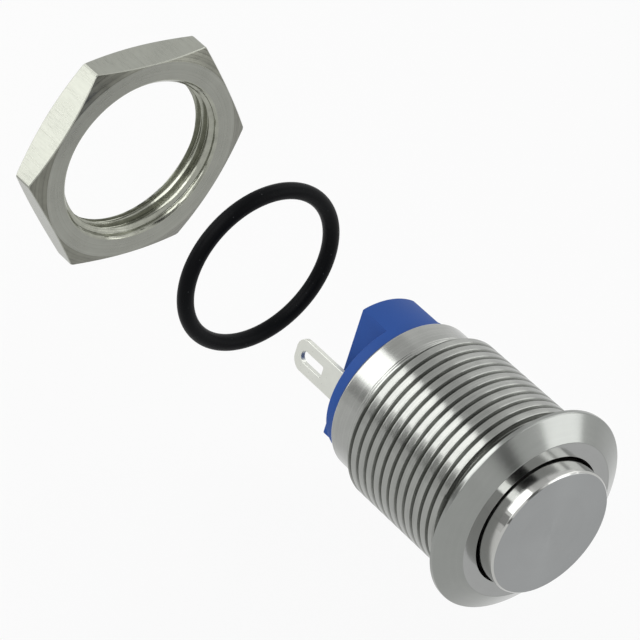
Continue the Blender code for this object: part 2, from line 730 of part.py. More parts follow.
def main():
    clear_scene()
    shop = Workshop()
    make_housing(shop)
    make_bush(shop)
    make_base(shop)
    make_terminals(shop)
    button = [make_cap(shop), make_stem_clip(shop), *make_carrier(shop)]
    seat = CAP_FACE + CAP_TOP
    coil("return_spring", RETURN_WIRE, RETURN_SPRING_RADIUS, RETURN_TURNS, seat, BUSH_FLANGE_FRONT, shop)
    button.append(
        coil(
            "contact_spring",
            CONTACT_WIRE,
            CONTACT_SPRING_RADIUS,
            CONTACT_TURNS,
            CARRIER_SEAT,
            BRIDGE_FRONT,
            shop,
        )
    )
    carry("button_slide", button)
    carry("bridge_slide", make_bridge(shop), BRIDGE_FRONT)
    panel_ring = ring("panel_o_ring", RING_INNER_RADIUS, RING_CORD, TORUS_STEPS, 12, RING_STATION)
    carry("ring_slide", [shop.keep(panel_ring, "rubber")], RING_STATION)
    carry("nut_slide", [make_nut(shop)], NUT_STATION)


main()
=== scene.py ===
"""Visual model of an anti-vandal push button, with its sealing ring and its nut off the barrel.

Round pieces turn about the row frame's Y axis. The button looks along -Y and the solder lugs
point along +Y. Lengths in the classes below are millimetres, angles are degrees, and MM turns a
length into metres.
Angles round the axis start at +Z and grow towards +X.
"""
import logging
import math
from collections.abc import Sequence
from dataclasses import dataclass, field
from enum import Enum, IntEnum
from typing import NamedTuple

import bmesh
import bpy
import numpy as np
from mathutils import Matrix, Vector


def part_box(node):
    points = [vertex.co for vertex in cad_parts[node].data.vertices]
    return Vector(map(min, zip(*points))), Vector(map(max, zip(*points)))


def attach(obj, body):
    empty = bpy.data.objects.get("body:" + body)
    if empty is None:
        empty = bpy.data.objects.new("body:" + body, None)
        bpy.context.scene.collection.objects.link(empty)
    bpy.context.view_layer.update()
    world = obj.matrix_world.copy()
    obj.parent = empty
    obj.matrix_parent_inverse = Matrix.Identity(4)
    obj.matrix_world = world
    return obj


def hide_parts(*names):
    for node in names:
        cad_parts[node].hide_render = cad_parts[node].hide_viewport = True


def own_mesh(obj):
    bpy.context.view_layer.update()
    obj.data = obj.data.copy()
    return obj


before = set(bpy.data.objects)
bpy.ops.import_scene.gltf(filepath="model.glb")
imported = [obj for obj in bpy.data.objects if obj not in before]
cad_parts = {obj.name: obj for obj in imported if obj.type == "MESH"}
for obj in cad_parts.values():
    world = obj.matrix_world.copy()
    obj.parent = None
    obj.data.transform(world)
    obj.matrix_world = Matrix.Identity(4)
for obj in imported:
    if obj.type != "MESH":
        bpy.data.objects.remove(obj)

LOG = logging.getLogger("push_button")
MM = 0.001
WELD = 1e-7
TINY = 1e-6
FULL_TURN = 360.0
HALF_TURN = 180.0
WHITE = (1.0, 1.0, 1.0, 1.0)
ALONG_Y = Matrix.Rotation(-math.pi / 2, 4, "X")

Colour = tuple[float, float, float]
Angles = np.ndarray


class Body(Enum):
    """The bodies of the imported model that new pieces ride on."""

    SWITCH = "switch"
    BUTTON = "button"
    SEALING_RING = "sealing_ring"
    NUT = "nut"


class Slot(Enum):
    """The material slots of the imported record."""

    STAINLESS = "stainless"
    BUTTON_STEEL = "button_steel"
    NICKEL_PLATE = "nickel_plate"
    SPRING_STEEL = "spring_steel"
    TERMINAL_SILVER = "terminal_silver"
    BLUE_MOULDING = "blue_moulding"
    BLACK_RUBBER = "black_rubber"


class Lay(Enum):
    """Which way the tool lines of a machined skin run."""

    ROUND = "round the axis"
    ALONG = "along the axis"
    NONE = "no lines"


def cad_span(node: str) -> tuple[Vector, Vector]:
    """The corners of a node's box in millimetres."""
    low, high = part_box(node)
    return low / MM, high / MM


# Shader graphs

MIX_FACTOR, MIX_A, MIX_B, MIX_RESULT = 0, 6, 7, 2
NOISE_VALUE = 0
FINE_SHARE = 0.6
SPECK_CORE = 0.6


class Signal:
    """A number that varies over a surface. Arithmetic on it adds Math nodes."""

    def __init__(self, graph: "Graph", socket: bpy.types.NodeSocket) -> None:
        """Wraps an output socket of the graph."""
        self.graph = graph
        self.socket = socket

    def __add__(self, other: "Signal | float") -> "Signal":
        """The sum of two values."""
        return self.graph.math("ADD", self, other)

    __radd__ = __add__

    def __sub__(self, other: "Signal | float") -> "Signal":
        """This value less the other."""
        return self.graph.math("SUBTRACT", self, other)

    def __rsub__(self, other: float) -> "Signal":
        """The other value less this one."""
        return self.graph.math("SUBTRACT", other, self)

    def __mul__(self, other: "Signal | float") -> "Signal":
        """The product of two values."""
        return self.graph.math("MULTIPLY", self, other)

    __rmul__ = __mul__

    def __truediv__(self, other: "Signal | float") -> "Signal":
        """This value over the other."""
        return self.graph.math("DIVIDE", self, other)

    def swing(self) -> "Signal":
        """How far a value from 0 to 1 is from its middle."""
        return self - 0.5

    def larger(self, other: "Signal | float") -> "Signal":
        """The larger of two values."""
        return self.graph.math("MAXIMUM", self, other)

    def between(self, low: float, high: float) -> "Signal":
        """0 at or under the low value, 1 at or over the high one, and a straight ramp between.

        Args:
            low: Value that gives 0.
            high: Value that gives 1.

        Returns:
            The ramp as a new value.
        """
        ramp = self.graph.node(
            "ShaderNodeMapRange",
            {"clamp": True},
            {"Value": self, "From Min": low, "From Max": high, "To Min": 0.0, "To Max": 1.0},
        )
        return Signal(self.graph, ramp.outputs["Result"])


Value = Signal | float


class Graph:
    """Adds nodes to one node tree."""

    def __init__(self, tree: bpy.types.NodeTree) -> None:
        """Empties the tree and starts over."""
        self.tree = tree
        tree.nodes.clear()

    def node(
        self,
        kind: str,
        settings: dict[str, object] | None = None,
        inputs: dict[str | int, object] | None = None,
    ) -> bpy.types.Node:
        """Adds a node, sets its settings and then feeds its sockets.

        Args:
            kind: The node's type.
            settings: Properties of the node, such as a Math node's operation, set first.
            inputs: Values or links, by socket name or number.

        Returns:
            The new node.
        """
        made = self.tree.nodes.new(kind)
        for name, value in (settings or {}).items():
            setattr(made, name, value)
        for name, value in (inputs or {}).items():
            self.feed(made.inputs[name], value)
        return made

    def feed(self, socket: bpy.types.NodeSocket, value: object) -> None:
        """Links a socket to another one, or sets its value.

        Args:
            socket: The input socket.
            value: A signal, an output socket or a plain value.
        """
        if isinstance(value, Signal):
            self.tree.links.new(value.socket, socket)
        elif isinstance(value, bpy.types.NodeSocket):
            self.tree.links.new(value, socket)
        else:
            socket.default_value = value

    def math(self, operation: str, *values: Value) -> Signal:
        """A Math node on the values."""
        made = self.node("ShaderNodeMath", {"operation": operation}, dict(enumerate(values)))
        return Signal(self, made.outputs["Value"])

    def mix(self, share: Value, first: Colour, second: object) -> bpy.types.NodeSocket:
        """A colour between two others.

        Args:
            share: 0 gives the first colour and 1 the second.
            first: Colour or colour link.
            second: Colour or colour link.

        Returns:
            The mixed colour's socket.
        """
        ends = [(*end, 1.0) if isinstance(end, tuple) else end for end in (first, second)]
        made = self.node(
            "ShaderNodeMix",
            {"data_type": "RGBA", "clamp_factor": True},
            {MIX_FACTOR: share, MIX_A: ends[0], MIX_B: ends[1]},
        )
        return made.outputs[MIX_RESULT]

    def place(self) -> bpy.types.NodeSocket:
        """The point's place in the object's own frame, in millimetres."""
        texture = self.node("ShaderNodeTexCoord")
        made = self.node(
            "ShaderNodeVectorMath",
            {"operation": "SCALE"},
            {0: texture.outputs["Object"], "Scale": 1 / MM},
        )
        return made.outputs["Vector"]

    def stretched(self, where: bpy.types.NodeSocket, factors: Colour) -> bpy.types.NodeSocket:
        """A place with each of its parts multiplied by a factor."""
        inputs = {0: where, 1: factors}
        made = self.node("ShaderNodeVectorMath", {"operation": "MULTIPLY"}, inputs)
        return made.outputs["Vector"]

    def parts(self, where: bpy.types.NodeSocket) -> list[Signal]:
        """The X, Y and Z of a place."""
        made = self.node("ShaderNodeSeparateXYZ", None, {"Vector": where})
        return [Signal(self, output) for output in made.outputs]

    def from_axis(self, where: bpy.types.NodeSocket) -> Signal:
        """The distance of a place from the local Z axis."""
        flat = self.stretched(where, (1.0, 1.0, 0.0))
        made = self.node("ShaderNodeVectorMath", {"operation": "LENGTH"}, {0: flat})
        return Signal(self, made.outputs["Value"])

    def noise(
        self, where: bpy.types.NodeSocket, size: float, detail: float = 2.0, rough: float = 0.5
    ) -> Signal:
        """Cloudy noise from 0 to 1.

        Args:
            where: Place in millimetres.
            size: Size of one cloud in millimetres.
            detail: Octaves over the first.
            rough: Share of the finer octaves.

        Returns:
            The noise value.
        """
        made = self.node(
            "ShaderNodeTexNoise",
            {"noise_dimensions": "3D"},
            {"Vector": where, "Scale": 1 / size, "Detail": detail, "Roughness": rough},
        )
        return Signal(self, made.outputs[NOISE_VALUE])

    def lines(self, across: Signal, pitch: float, detail: float = 2.0) -> Signal:
        """Uneven parallel lines from 0 to 1.

        Args:
            across: Value that grows across the lines, in millimetres.
            pitch: Mean distance between two lines.
            detail: Octaves over the first.

        Returns:
            The value of the lines.
        """
        made = self.node(
            "ShaderNodeTexNoise",
            {"noise_dimensions": "1D"},
            {"W": across / pitch, "Scale": 1.0, "Detail": detail, "Roughness": FINE_SHARE},
        )
        return Signal(self, made.outputs[NOISE_VALUE])

    def specks(self, where: bpy.types.NodeSocket, spacing: float, size: float) -> Signal:
        """Round specks, 1 inside and 0 outside.

        Args:
            where: Place in millimetres.
            spacing: Mean distance between specks in millimetres.
            size: A speck's radius as a share of the spacing.

        Returns:
            The mask of the specks.
        """
        made = self.node(
            "ShaderNodeTexVoronoi",
            {"feature": "F1"},
            {"Vector": where, "Scale": 1 / spacing, "Randomness": 1.0},
        )
        distance = Signal(self, made.outputs["Distance"])
        return 1.0 - distance.between(size * SPECK_CORE, size)


class MaterialGraph(Graph):
    """The graph of one material."""

    def __init__(self, name: str) -> None:
        """Makes the material.

        Args:
            name: The material's name.
        """
        self.material = bpy.data.materials.new(name)
        self.material.use_nodes = True
        super().__init__(self.material.node_tree)

    def surface(self, shader: bpy.types.NodeSocket) -> bpy.types.Material:
        """Shows a shader on the surface, and hands the material over."""
        self.node("ShaderNodeOutputMaterial", None, {"Surface": shader})
        return self.material


class SkinGraph(MaterialGraph):
    """The graph of one material with a Principled shader."""

    def __init__(self, name: str) -> None:
        """Makes the material and its shader."""
        super().__init__(name)
        self.shader = self.node("ShaderNodeBsdfPrincipled")

    def set(self, socket: str, value: object) -> None:
        """Sets or links one socket of the shader."""
        self.feed(self.shader.inputs[socket], (*value, 1.0) if isinstance(value, tuple) else value)

    def relief(self, height: Signal) -> None:
        """Bumps the surface by a height in millimetres."""
        settings = {"Strength": 1.0, "Distance": MM, "Height": height}
        bump = self.node("ShaderNodeBump", None, settings)
        self.set("Normal", bump.outputs["Normal"])

    def finish(self, colour: Colour, roughness: float, metallic: float) -> bpy.types.Material:
        """Gives the viewport its plain look and hands the material over.

        Args:
            colour: The plain colour.
            roughness: The plain roughness.
            metallic: 1 for metal, 0 for anything else.

        Returns:
            The finished material.
        """
        self.material.diffuse_color = (*colour, 1.0)
        self.material.roughness = roughness
        self.material.metallic = metallic
        return self.surface(self.shader.outputs["BSDF"])


# Finishes

# Detail of the noise for slow changes, tool lines and clouds
SLOW_OCTAVES, LINE_OCTAVES, CLOUD_OCTAVES = 1.0, 2.0, 3.0
# Metal: spread of the tone, and what fine lines and clouds add to it
METAL_SPREAD, FINE_TONE, CLOUD_TONE = 0.22, 2.0, 4.0
# Metal: what clouds and coarse marks add to the roughness
CLOUD_WEAR, COARSE_WEAR = 2.0, 0.6
# Mouldings: spread of the tone, and what clouds and grain add to it
MOULDED_SPREAD, MOULDED_CLOUD, MOULDED_GRAIN = 0.14, 0.6, 0.4
# Mouldings: what clouds and grain add to the roughness
MOULDED_CLOUD_WEAR, MOULDED_GRAIN_WEAR = 0.16, 0.10


def shade(colour: Colour, factor: float) -> Colour:
    """A colour made lighter or darker by a factor."""
    red, green, blue = (min(part * factor, 1.0) for part in colour)
    return red, green, blue


class Marks(NamedTuple):
    """Fine lines or coarser marks of a tool.

    Attributes:
        pitch: Distance between them.
        depth: Their depth.
    """

    pitch: float
    depth: float


class Specks(NamedTuple):
    """Scattered specks.

    Attributes:
        spacing: Distance between them.
        size: A speck's radius as a share of that distance.
    """

    spacing: float
    size: float


@dataclass(frozen=True)
class MachinedMetal:
    """A turned, milled, drawn or plated metal skin.

    Attributes:
        name: The material's name.
        tint: Base colour.
        roughness: Mean roughness.
        lay: Which way the tool lines run.
        fine: The fine tool lines.
        coarse: The coarser marks.
        contrast: How far the lines change the colour.
        cloud: Size of the slow changes.
        cloud_share: How far the slow changes reach into colour and roughness.
        anisotropy: Stretch of the highlight across the lines.
        spot_share: Strength of tiny dark spots.
        scratch_share: Strength of thin dark scratches along the lines.
        spots: Where the dark spots are.
        spot_shade: How dark a spot is, as a share of the tint.
        scratch_levels: Fine line values where a scratch starts and where it is full.
        scratch_shade: How dark a scratch is, as a share of the tint.
        drift_size: Size of the clouds that bend turned lines.
        drift_share: How far turned lines bend, as a share of their pitch.
        drawn_share: Squeeze of the noise along drawn lines.
        lines_turn: Turns from a highlight's own direction to the one across the lines.
    """

    name: str
    tint: Colour
    roughness: float
    lay: Lay = Lay.ROUND
    fine: Marks = Marks(0.06, 0.001)
    coarse: Marks = Marks(0.4, 0.001)
    contrast: float = 0.15
    cloud: float = 1.6
    cloud_share: float = 0.12
    anisotropy: float = 0.0
    spot_share: float = 0.0
    scratch_share: float = 0.0
    spots: Specks = Specks(0.42, 0.13)
    spot_shade: float = 0.4
    scratch_levels: tuple[float, float] = (0.58, 0.68)
    scratch_shade: float = 0.35
    drift_size: float = 2.5
    drift_share: float = 0.8
    drawn_share: float = 0.04
    lines_turn: float = 0.25

    def material(self) -> bpy.types.Material:
        """Builds the node material.

        Returns:
            The material.
        """
        graph = SkinGraph(self.name)
        where = graph.place()
        cloud = graph.noise(where, self.cloud, CLOUD_OCTAVES)
        fine, coarse = self.tool_lines(graph, where)
        lines = fine.swing() * self.contrast * FINE_TONE + coarse.swing() * self.contrast
        tone = 0.5 + lines + cloud.swing() * self.cloud_share * CLOUD_TONE
        dark, pale = 1 - METAL_SPREAD, 1 + METAL_SPREAD
        colour = graph.mix(tone, shade(self.tint, dark), shade(self.tint, pale))
        if self.spot_share:
            spot = graph.specks(where, *self.spots) * self.spot_share
            colour = graph.mix(spot, colour, shade(self.tint, self.spot_shade))
        if self.scratch_share:
            scratch = fine.between(*self.scratch_levels) * self.scratch_share
            colour = graph.mix(scratch, colour, shade(self.tint, self.scratch_shade))
        graph.set("Base Color", colour)
        graph.set("Metallic", 1.0)
        cloudy = cloud.swing() * self.cloud_share * CLOUD_WEAR
        marked = coarse.swing() * self.contrast * COARSE_WEAR
        graph.set("Roughness", self.roughness * (1.0 + cloudy + marked))
        graph.set("Anisotropic", self.anisotropy)
        graph.set("Anisotropic Rotation", self.lines_turn)
        graph.relief(fine * self.fine.depth + coarse * self.coarse.depth)
        return graph.finish(self.tint, self.roughness, 1.0)

    def tool_lines(self, graph: SkinGraph, where: bpy.types.NodeSocket) -> tuple[Signal, Signal]:
        """The fine and the coarse marks of the tool.

        Args:
            graph: The material's graph.
            where: Place in millimetres.

        Returns:
            Both marks, from 0 to 1.
        """
        fine, coarse = self.fine.pitch, self.coarse.pitch
        if self.lay is Lay.ROUND:
            across = graph.parts(where)[2] + graph.from_axis(where)
            drift = graph.noise(where, self.drift_size, SLOW_OCTAVES) * fine * self.drift_share
            return graph.lines(across + drift, fine), graph.lines(across, coarse, SLOW_OCTAVES)
        squeeze = self.drawn_share if self.lay is Lay.ALONG else 1.0
        drawn = graph.stretched(where, (1.0, 1.0, squeeze))
        fine_lines = graph.noise(drawn, fine, LINE_OCTAVES, FINE_SHARE)
        return fine_lines, graph.noise(drawn, coarse, SLOW_OCTAVES)


@dataclass(frozen=True)
class MouldedSkin:
    """A moulded plastic or rubber skin.

    Attributes:
        name: The material's name.
        tint: Base colour.
        roughness: Mean roughness.
        grain: The surface grain.
        specular: Specular level.
        dust: Share of pale dust specks.
        nick_depth: Depth of small nicks.
        cloud: Size of the slow changes.
        lint: Where dust specks can be.
        lint_patch: Size of the patches that hold dust.
        lint_levels: Cloud values where a patch starts and where it is full.
        lint_colour: Colour of the dust.
        nicks: Where the nicks are.
    """

    name: str
    tint: Colour
    roughness: float
    grain: Marks = Marks(0.08, 0.0012)
    specular: float = 0.5
    dust: float = 0.0
    nick_depth: float = 0.0
    cloud: float = 2.2
    lint: Specks = Specks(0.34, 0.14)
    lint_patch: float = 1.1
    lint_levels: tuple[float, float] = (0.5, 0.68)
    lint_colour: Colour = (0.32, 0.33, 0.34)
    nicks: Specks = Specks(1.3, 0.16)

    def material(self) -> bpy.types.Material:
        """Builds the node material.

        Returns:
            The material.
        """
        graph = SkinGraph(self.name)
        where = graph.place()
        cloud = graph.noise(where, self.cloud, CLOUD_OCTAVES)
        grain = graph.noise(where, self.grain.pitch, CLOUD_OCTAVES, FINE_SHARE)
        dark, pale = 1 - MOULDED_SPREAD, 1 + MOULDED_SPREAD
        tone = cloud * MOULDED_CLOUD + grain * MOULDED_GRAIN
        colour = graph.mix(tone, shade(self.tint, dark), shade(self.tint, pale))
        if self.dust:
            patch = graph.noise(where, self.lint_patch, SLOW_OCTAVES).between(*self.lint_levels)
            lint = graph.specks(where, *self.lint) * patch
            colour = graph.mix(lint * self.dust, colour, self.lint_colour)
        graph.set("Base Color", colour)
        wear = cloud.swing() * MOULDED_CLOUD_WEAR + grain.swing() * MOULDED_GRAIN_WEAR
        graph.set("Roughness", self.roughness + wear)
        graph.set("Specular IOR Level", self.specular)
        height = grain * self.grain.depth
        if self.nick_depth:
            height = height - graph.specks(where, *self.nicks) * self.nick_depth
        graph.relief(height)
        return graph.finish(self.tint, self.roughness, 0.0)


class Finishes:
    """Every finish of the object."""

    face = MachinedMetal(
        "spun_button_face", (0.300, 0.309, 0.309), 0.25,
        fine=Marks(0.045, 0.0006), coarse=Marks(0.5, 0.0004),
        contrast=0.12, cloud=2.6, cloud_share=0.05, anisotropy=0.85,
    )
    cap_wall = MachinedMetal(
        "polished_cap_wall", (0.46, 0.463, 0.445), 0.10,
        fine=Marks(0.07, 0.0001), coarse=Marks(0.35, 0.0001),
        contrast=0.06, cloud_share=0.06, anisotropy=0.95,
    )
    flat_ring = MachinedMetal(
        "polished_flat_ring", (0.325, 0.331, 0.325), 0.09,
        fine=Marks(0.07, 0.0001), coarse=Marks(0.3, 0.0001),
        contrast=0.05, cloud_share=0.05, anisotropy=0.95,
    )
    cone = MachinedMetal(
        "satin_head_cone", (0.268, 0.277, 0.264), 0.19,
        fine=Marks(0.06, 0.0002), coarse=Marks(0.35, 0.0001),
        contrast=0.07, cloud=1.8, cloud_share=0.08, anisotropy=0.3,
    )
    thread = MachinedMetal(
        "cut_thread_steel", (0.300, 0.307, 0.290), 0.22,
        fine=Marks(0.05, 0.0008), coarse=Marks(0.25, 0.0004),
        contrast=0.36, cloud=1.1, cloud_share=0.16, anisotropy=0.97,
    )
    barrel = MachinedMetal(
        "turned_barrel_steel", (0.335, 0.341, 0.325), 0.21,
        fine=Marks(0.05, 0.0006), coarse=Marks(0.3, 0.0003),
        contrast=0.26, cloud=1.4, cloud_share=0.16, anisotropy=0.5,
    )
    bore = MachinedMetal(
        "bored_steel", (0.24, 0.242, 0.235), 0.38,
        fine=Marks(0.09, 0.002), coarse=Marks(0.4, 0.002),
        contrast=0.3, cloud=1.2, cloud_share=0.2, anisotropy=0.2,
    )
    nut_face = MachinedMetal(
        "nickel_nut_face", (0.278, 0.283, 0.254), 0.28,
        fine=Marks(0.09, 0.0016), coarse=Marks(0.5, 0.003),
        contrast=0.32, cloud=1.5, cloud_share=0.14, anisotropy=0.35,
    )
    nut_flat = MachinedMetal(
        "nickel_nut_flat", (0.318, 0.326, 0.288), 0.28, Lay.ALONG,
        fine=Marks(0.06, 0.0022), coarse=Marks(0.40, 0.0020),
        contrast=0.40, cloud=2.0, cloud_share=0.10, scratch_share=0.38,
    )
    nut_chamfer = MachinedMetal(
        "nickel_nut_chamfer", (0.185, 0.187, 0.160), 0.34,
        fine=Marks(0.13, 0.010), coarse=Marks(0.3, 0.014),
        contrast=0.85, cloud=0.8, cloud_share=0.3, anisotropy=0.3, scratch_share=0.5,
    )
    nut_bore = MachinedMetal(
        "nickel_nut_bore", (0.315, 0.322, 0.276), 0.18,
        fine=Marks(0.08, 0.003), coarse=Marks(0.3, 0.004),
        contrast=0.45, cloud=0.7, cloud_share=0.35, anisotropy=0.3,
    )
    lug = MachinedMetal(
        "silver_lug_plate", (0.62, 0.63, 0.585), 0.46, Lay.NONE,
        fine=Marks(0.09, 0.0012), coarse=Marks(0.5, 0.001),
        contrast=0.08, cloud=1.2, cloud_share=0.07, spot_share=0.22,
    )
    spring = MachinedMetal(
        "drawn_spring_wire", (0.36, 0.36, 0.37), 0.26, Lay.NONE,
        fine=Marks(0.05, 0.0008), coarse=Marks(0.3, 0.001),
    )
    clip = MachinedMetal(
        "blued_clip_steel", (0.26, 0.27, 0.30), 0.32, Lay.NONE, coarse=Marks(0.3, 0.001)
    )
    brass = MachinedMetal("turned_brass", (0.62, 0.45, 0.20), 0.28, Lay.NONE)
    contact = MachinedMetal(
        "contact_silver_skin", (0.78, 0.77, 0.73), 0.22, Lay.NONE,
        fine=Marks(0.05, 0.0006), contrast=0.10,
    )
    washer = MachinedMetal(
        "stamped_washer_steel", (0.36, 0.36, 0.35), 0.3, Lay.NONE, contrast=0.12
    )
    blue = MouldedSkin(
        "blue_moulded_plastic", (0.020, 0.073, 0.292), 0.55, Marks(0.10, 0.0016), specular=0.14
    )
    white = MouldedSkin("white_moulded_plastic", (0.74, 0.73, 0.68), 0.48)
    rubber = MouldedSkin(
        "black_ring_rubber", (0.0026, 0.0030, 0.0036), 0.40, Marks(0.07, 0.0022),
        specular=0.05, dust=0.12, nick_depth=0.008,
    )
    seal = MouldedSkin("red_seal_rubber", (0.42, 0.10, 0.06), 0.5)


# Meshes

EDGE_STEPS = 3
EDGE_REACH = 0.45
MARK_CLEARANCE = 3
TURNS_BEFORE, TURNS_OVER = 1, 3


class Edge(float, Enum):
    """Sizes of broken edges, from a scribed line's to a clear round."""

    SCRIBED = 0.01
    HAIR = 0.02
    FINE = 0.03
    THIN = 0.04
    PLAIN = 0.05
    SOFT = 0.06
    BROAD = 0.08
    ROUND = 0.10


class Corner(NamedTuple):
    """One corner of an outline.

    Attributes:
        radius: Distance from the axis.
        station: Place along the axis.
        edge: Size of its edge round.
        finish: Material index of what follows it.
    """

    radius: float
    station: float
    edge: float = 0.0
    finish: int = 0


def rounded(corners: Sequence[Corner], closed: bool, steps: int = EDGE_STEPS) -> list[Corner]:
    """Works the edge rounds of an outline in.

    Args:
        corners: The outline's corners in order.
        closed: True where the last corner joins the first.
        steps: Steps in one edge round.

    Returns:
        The outline with its rounds as short steps.
    """
    points: list[Corner] = []
    count = len(corners)
    for index, corner in enumerate(corners):
        at_end = not closed and index in (0, count - 1)
        if corner.edge == 0 or at_end:
            points.append(corner)
            continue
        here = Vector(corner[:2])
        back = Vector(corners[index - 1][:2]) - here
        ahead = Vector(corners[(index + 1) % count][:2]) - here
        reach = min(corner.edge, back.length * EDGE_REACH, ahead.length * EDGE_REACH)
        start = here + back.normalized() * reach
        end = here + ahead.normalized() * reach
        for step in range(steps + 1):
            share = step / steps
            bend = start * (1 - share) ** 2 + here * 2 * share * (1 - share) + end * share**2
            points.append(Corner(bend.x, bend.y, 0.0, corner.finish))
    return points


@dataclass
class Ring:
    """One ring of a lathed skin. A helical ring meets itself some rings further on, at the seam.

    Attributes:
        radius: Distance from the axis in each column.
        station: Place along the axis in each column.
        finish: Material index of the faces up to the next ring.
        seam_shift: Rings from here to the one that it meets at the seam.
    """

    radius: Angles
    station: Angles
    finish: int
    seam_shift: int = 0


@dataclass(frozen=True)
class Thread:
    """A thread on the turning axis.

    Attributes:
        crest: Radius of the flat crests.
        depth: Depth of the grooves.
        pitch: Length of one turn.
        start: Station where a turn starts at angle 0.
        crest_end: Share of the pitch where the crest ends.
        edge: Share of the pitch of one broken crest edge.
        edge_drop: How far a broken edge falls.
        root: Share of the pitch at the middle of the groove.
        root_half: Half the root's width as a share of the pitch.
        flank: Share of the depth where a flank turns into the root.
        row_share: Longest stretch between two rows as a share of the pitch.
    """

    crest: float
    depth: float
    pitch: float
    start: float
    crest_end: float = 0.63
    edge: float = 0.06
    edge_drop: float = 0.0165
    root: float = 0.815
    root_half: float = 0.03
    flank: float = 0.95
    row_share: float = 0.085

    def profile(self) -> tuple[list[float], list[float]]:
        """The form of one turn.

        Returns:
            Shares of the pitch, and the depth under the crest at each.
        """
        shares = [0.0, self.edge, self.crest_end - self.edge, self.crest_end]
        shares += [self.root - self.root_half, self.root, self.root + self.root_half, 1.0]
        flank_end = self.depth * self.flank
        depths = [self.edge_drop, 0.0, 0.0, self.edge_drop]
        depths += [flank_end, self.depth, flank_end, self.edge_drop]
        return shares, depths

    def rows(self) -> list[float]:
        """The rows of one turn.

        Returns:
            Shares of the pitch at which the skin gets a row.
        """
        shares, _ = self.profile()
        found: list[float] = []
        for low, high in zip(shares, shares[1:]):
            parts = max(1, math.ceil((high - low) / self.row_share))
            found += [low + (high - low) * part / parts for part in range(parts)]
        return found

    def radius_at(self, station: Angles, turn: Angles) -> Angles:
        """The radius of the skin.

        Args:
            station: Places along the axis.
            turn: Shares of a turn round it.

        Returns:
            The radius at each.
        """
        shares, depths = self.profile()
        phase = np.mod((station - self.start) / self.pitch - turn, 1.0)
        return self.crest - np.interp(phase, shares, depths)


@dataclass
class Lathe:
    """A skin of rings round the turning axis.

    Attributes:
        steps: Equal steps round the axis.
        marks: Angles in degrees that get a column of their own.
        rings: The rings so far, in order.
    """

    steps: int = 240
    marks: tuple[float, ...] = ()
    rings: list[Ring] = field(default_factory=list)

    def __post_init__(self) -> None:
        """Lays out the columns, none of them closer to a mark than a third of a step."""
        even = np.arange(self.steps) * FULL_TURN / self.steps
        near = FULL_TURN / self.steps / MARK_CLEARANCE
        clear = [
            angle
            for angle in even
            if all(
                abs((angle - mark + HALF_TURN) % FULL_TURN - HALF_TURN) > near
                for mark in self.marks
            )
        ]
        self.degrees = np.unique(np.concatenate([clear, np.mod(self.marks, FULL_TURN)]))
        self.angles = np.radians(self.degrees)
        self.turn = self.degrees / FULL_TURN

    def ring(self, radius: Angles | float, station: Angles | float, finish: int = 0) -> None:
        """Adds a ring, round or with a radius for each column."""
        ones = np.ones_like(self.angles)
        self.rings.append(Ring(radius * ones, station * ones, finish))

    def outline(self, corners: Sequence[Corner], closed: bool = False) -> None:
        """Adds the rings of an outline, with its edge rounds."""
        for corner in rounded(corners, closed):
            self.ring(corner.radius, corner.station, corner.finish)

    def helix(self, thread: Thread, low: float, high: float, finish: int) -> list[Ring]:
        """Adds a threaded stretch between two stations.

        Args:
            thread: The thread.
            low: Station where the stretch starts.
            high: Station where it ends.
            finish: Material index of the stretch.

        Returns:
            The new rings, whose radii may still be trimmed.
        """
        rows = thread.rows()
        turns_to_low = math.floor((low - thread.start) / thread.pitch)
        first = thread.start + thread.pitch * (turns_to_low - TURNS_BEFORE)
        turns = math.ceil((high - low) / thread.pitch) + TURNS_OVER
        made = []
        for turn in range(turns):
            for share in rows:
                free = first + thread.pitch * (turn + share + self.turn)
                station = np.clip(free, low, high)
                radius = thread.radius_at(station, self.turn)
                made.append(Ring(radius, station, finish, len(rows)))
        self.rings += made
        return made

    def mesh(self, name: str, closed: bool) -> bpy.types.Mesh:
        """Joins the rings into one skin.

        Args:
            name: The mesh's name.
            closed: True where the last ring joins the first.

        Returns:
            The mesh in metres, with its axis along local Z.
        """
        radius = np.array([ring.radius for ring in self.rings])
        station = np.array([ring.station for ring in self.rings])
        across, up = radius * np.sin(self.angles), -radius * np.cos(self.angles)
        points = np.stack((across, up, station), axis=-1).reshape(-1, 3) * MM
        faces, finishes = [], []
        count, total = len(self.angles), len(self.rings)
        for row in range(total if closed else total - 1):
            ahead = (row + 1) % total
            shift = min(self.rings[row].seam_shift, self.rings[ahead].seam_shift)
            for column in range(count):
                beside = (column + 1) % count
                skip = shift if beside == 0 else 0
                past_end = ahead + skip >= total or not self.rings[ahead + skip].seam_shift
                if skip and past_end:
                    continue
                near = (row, column), (row + skip, beside)
                far = (ahead + skip, beside), (ahead, column)
                faces.append([place * count + side for place, side in near + far])
                finishes.append(self.rings[row].finish)
        mesh = bpy.data.meshes.new(name)
        mesh.from_pydata(points.tolist(), [], faces)
        mesh.polygons.foreach_set("material_index", finishes)
        weld(mesh)
        return mesh


def weld(mesh: bpy.types.Mesh) -> None:
    """Joins points that coincide, drops faces without area, and turns all faces outward.

    Args:
        mesh: The mesh to mend.
    """
    work = bmesh.new()
    work.from_mesh(mesh)
    bmesh.ops.remove_doubles(work, verts=work.verts, dist=WELD)
    bmesh.ops.dissolve_degenerate(work, edges=work.edges, dist=WELD)
    bmesh.ops.recalc_face_normals(work, faces=work.faces)
    work.to_mesh(mesh)
    work.free()


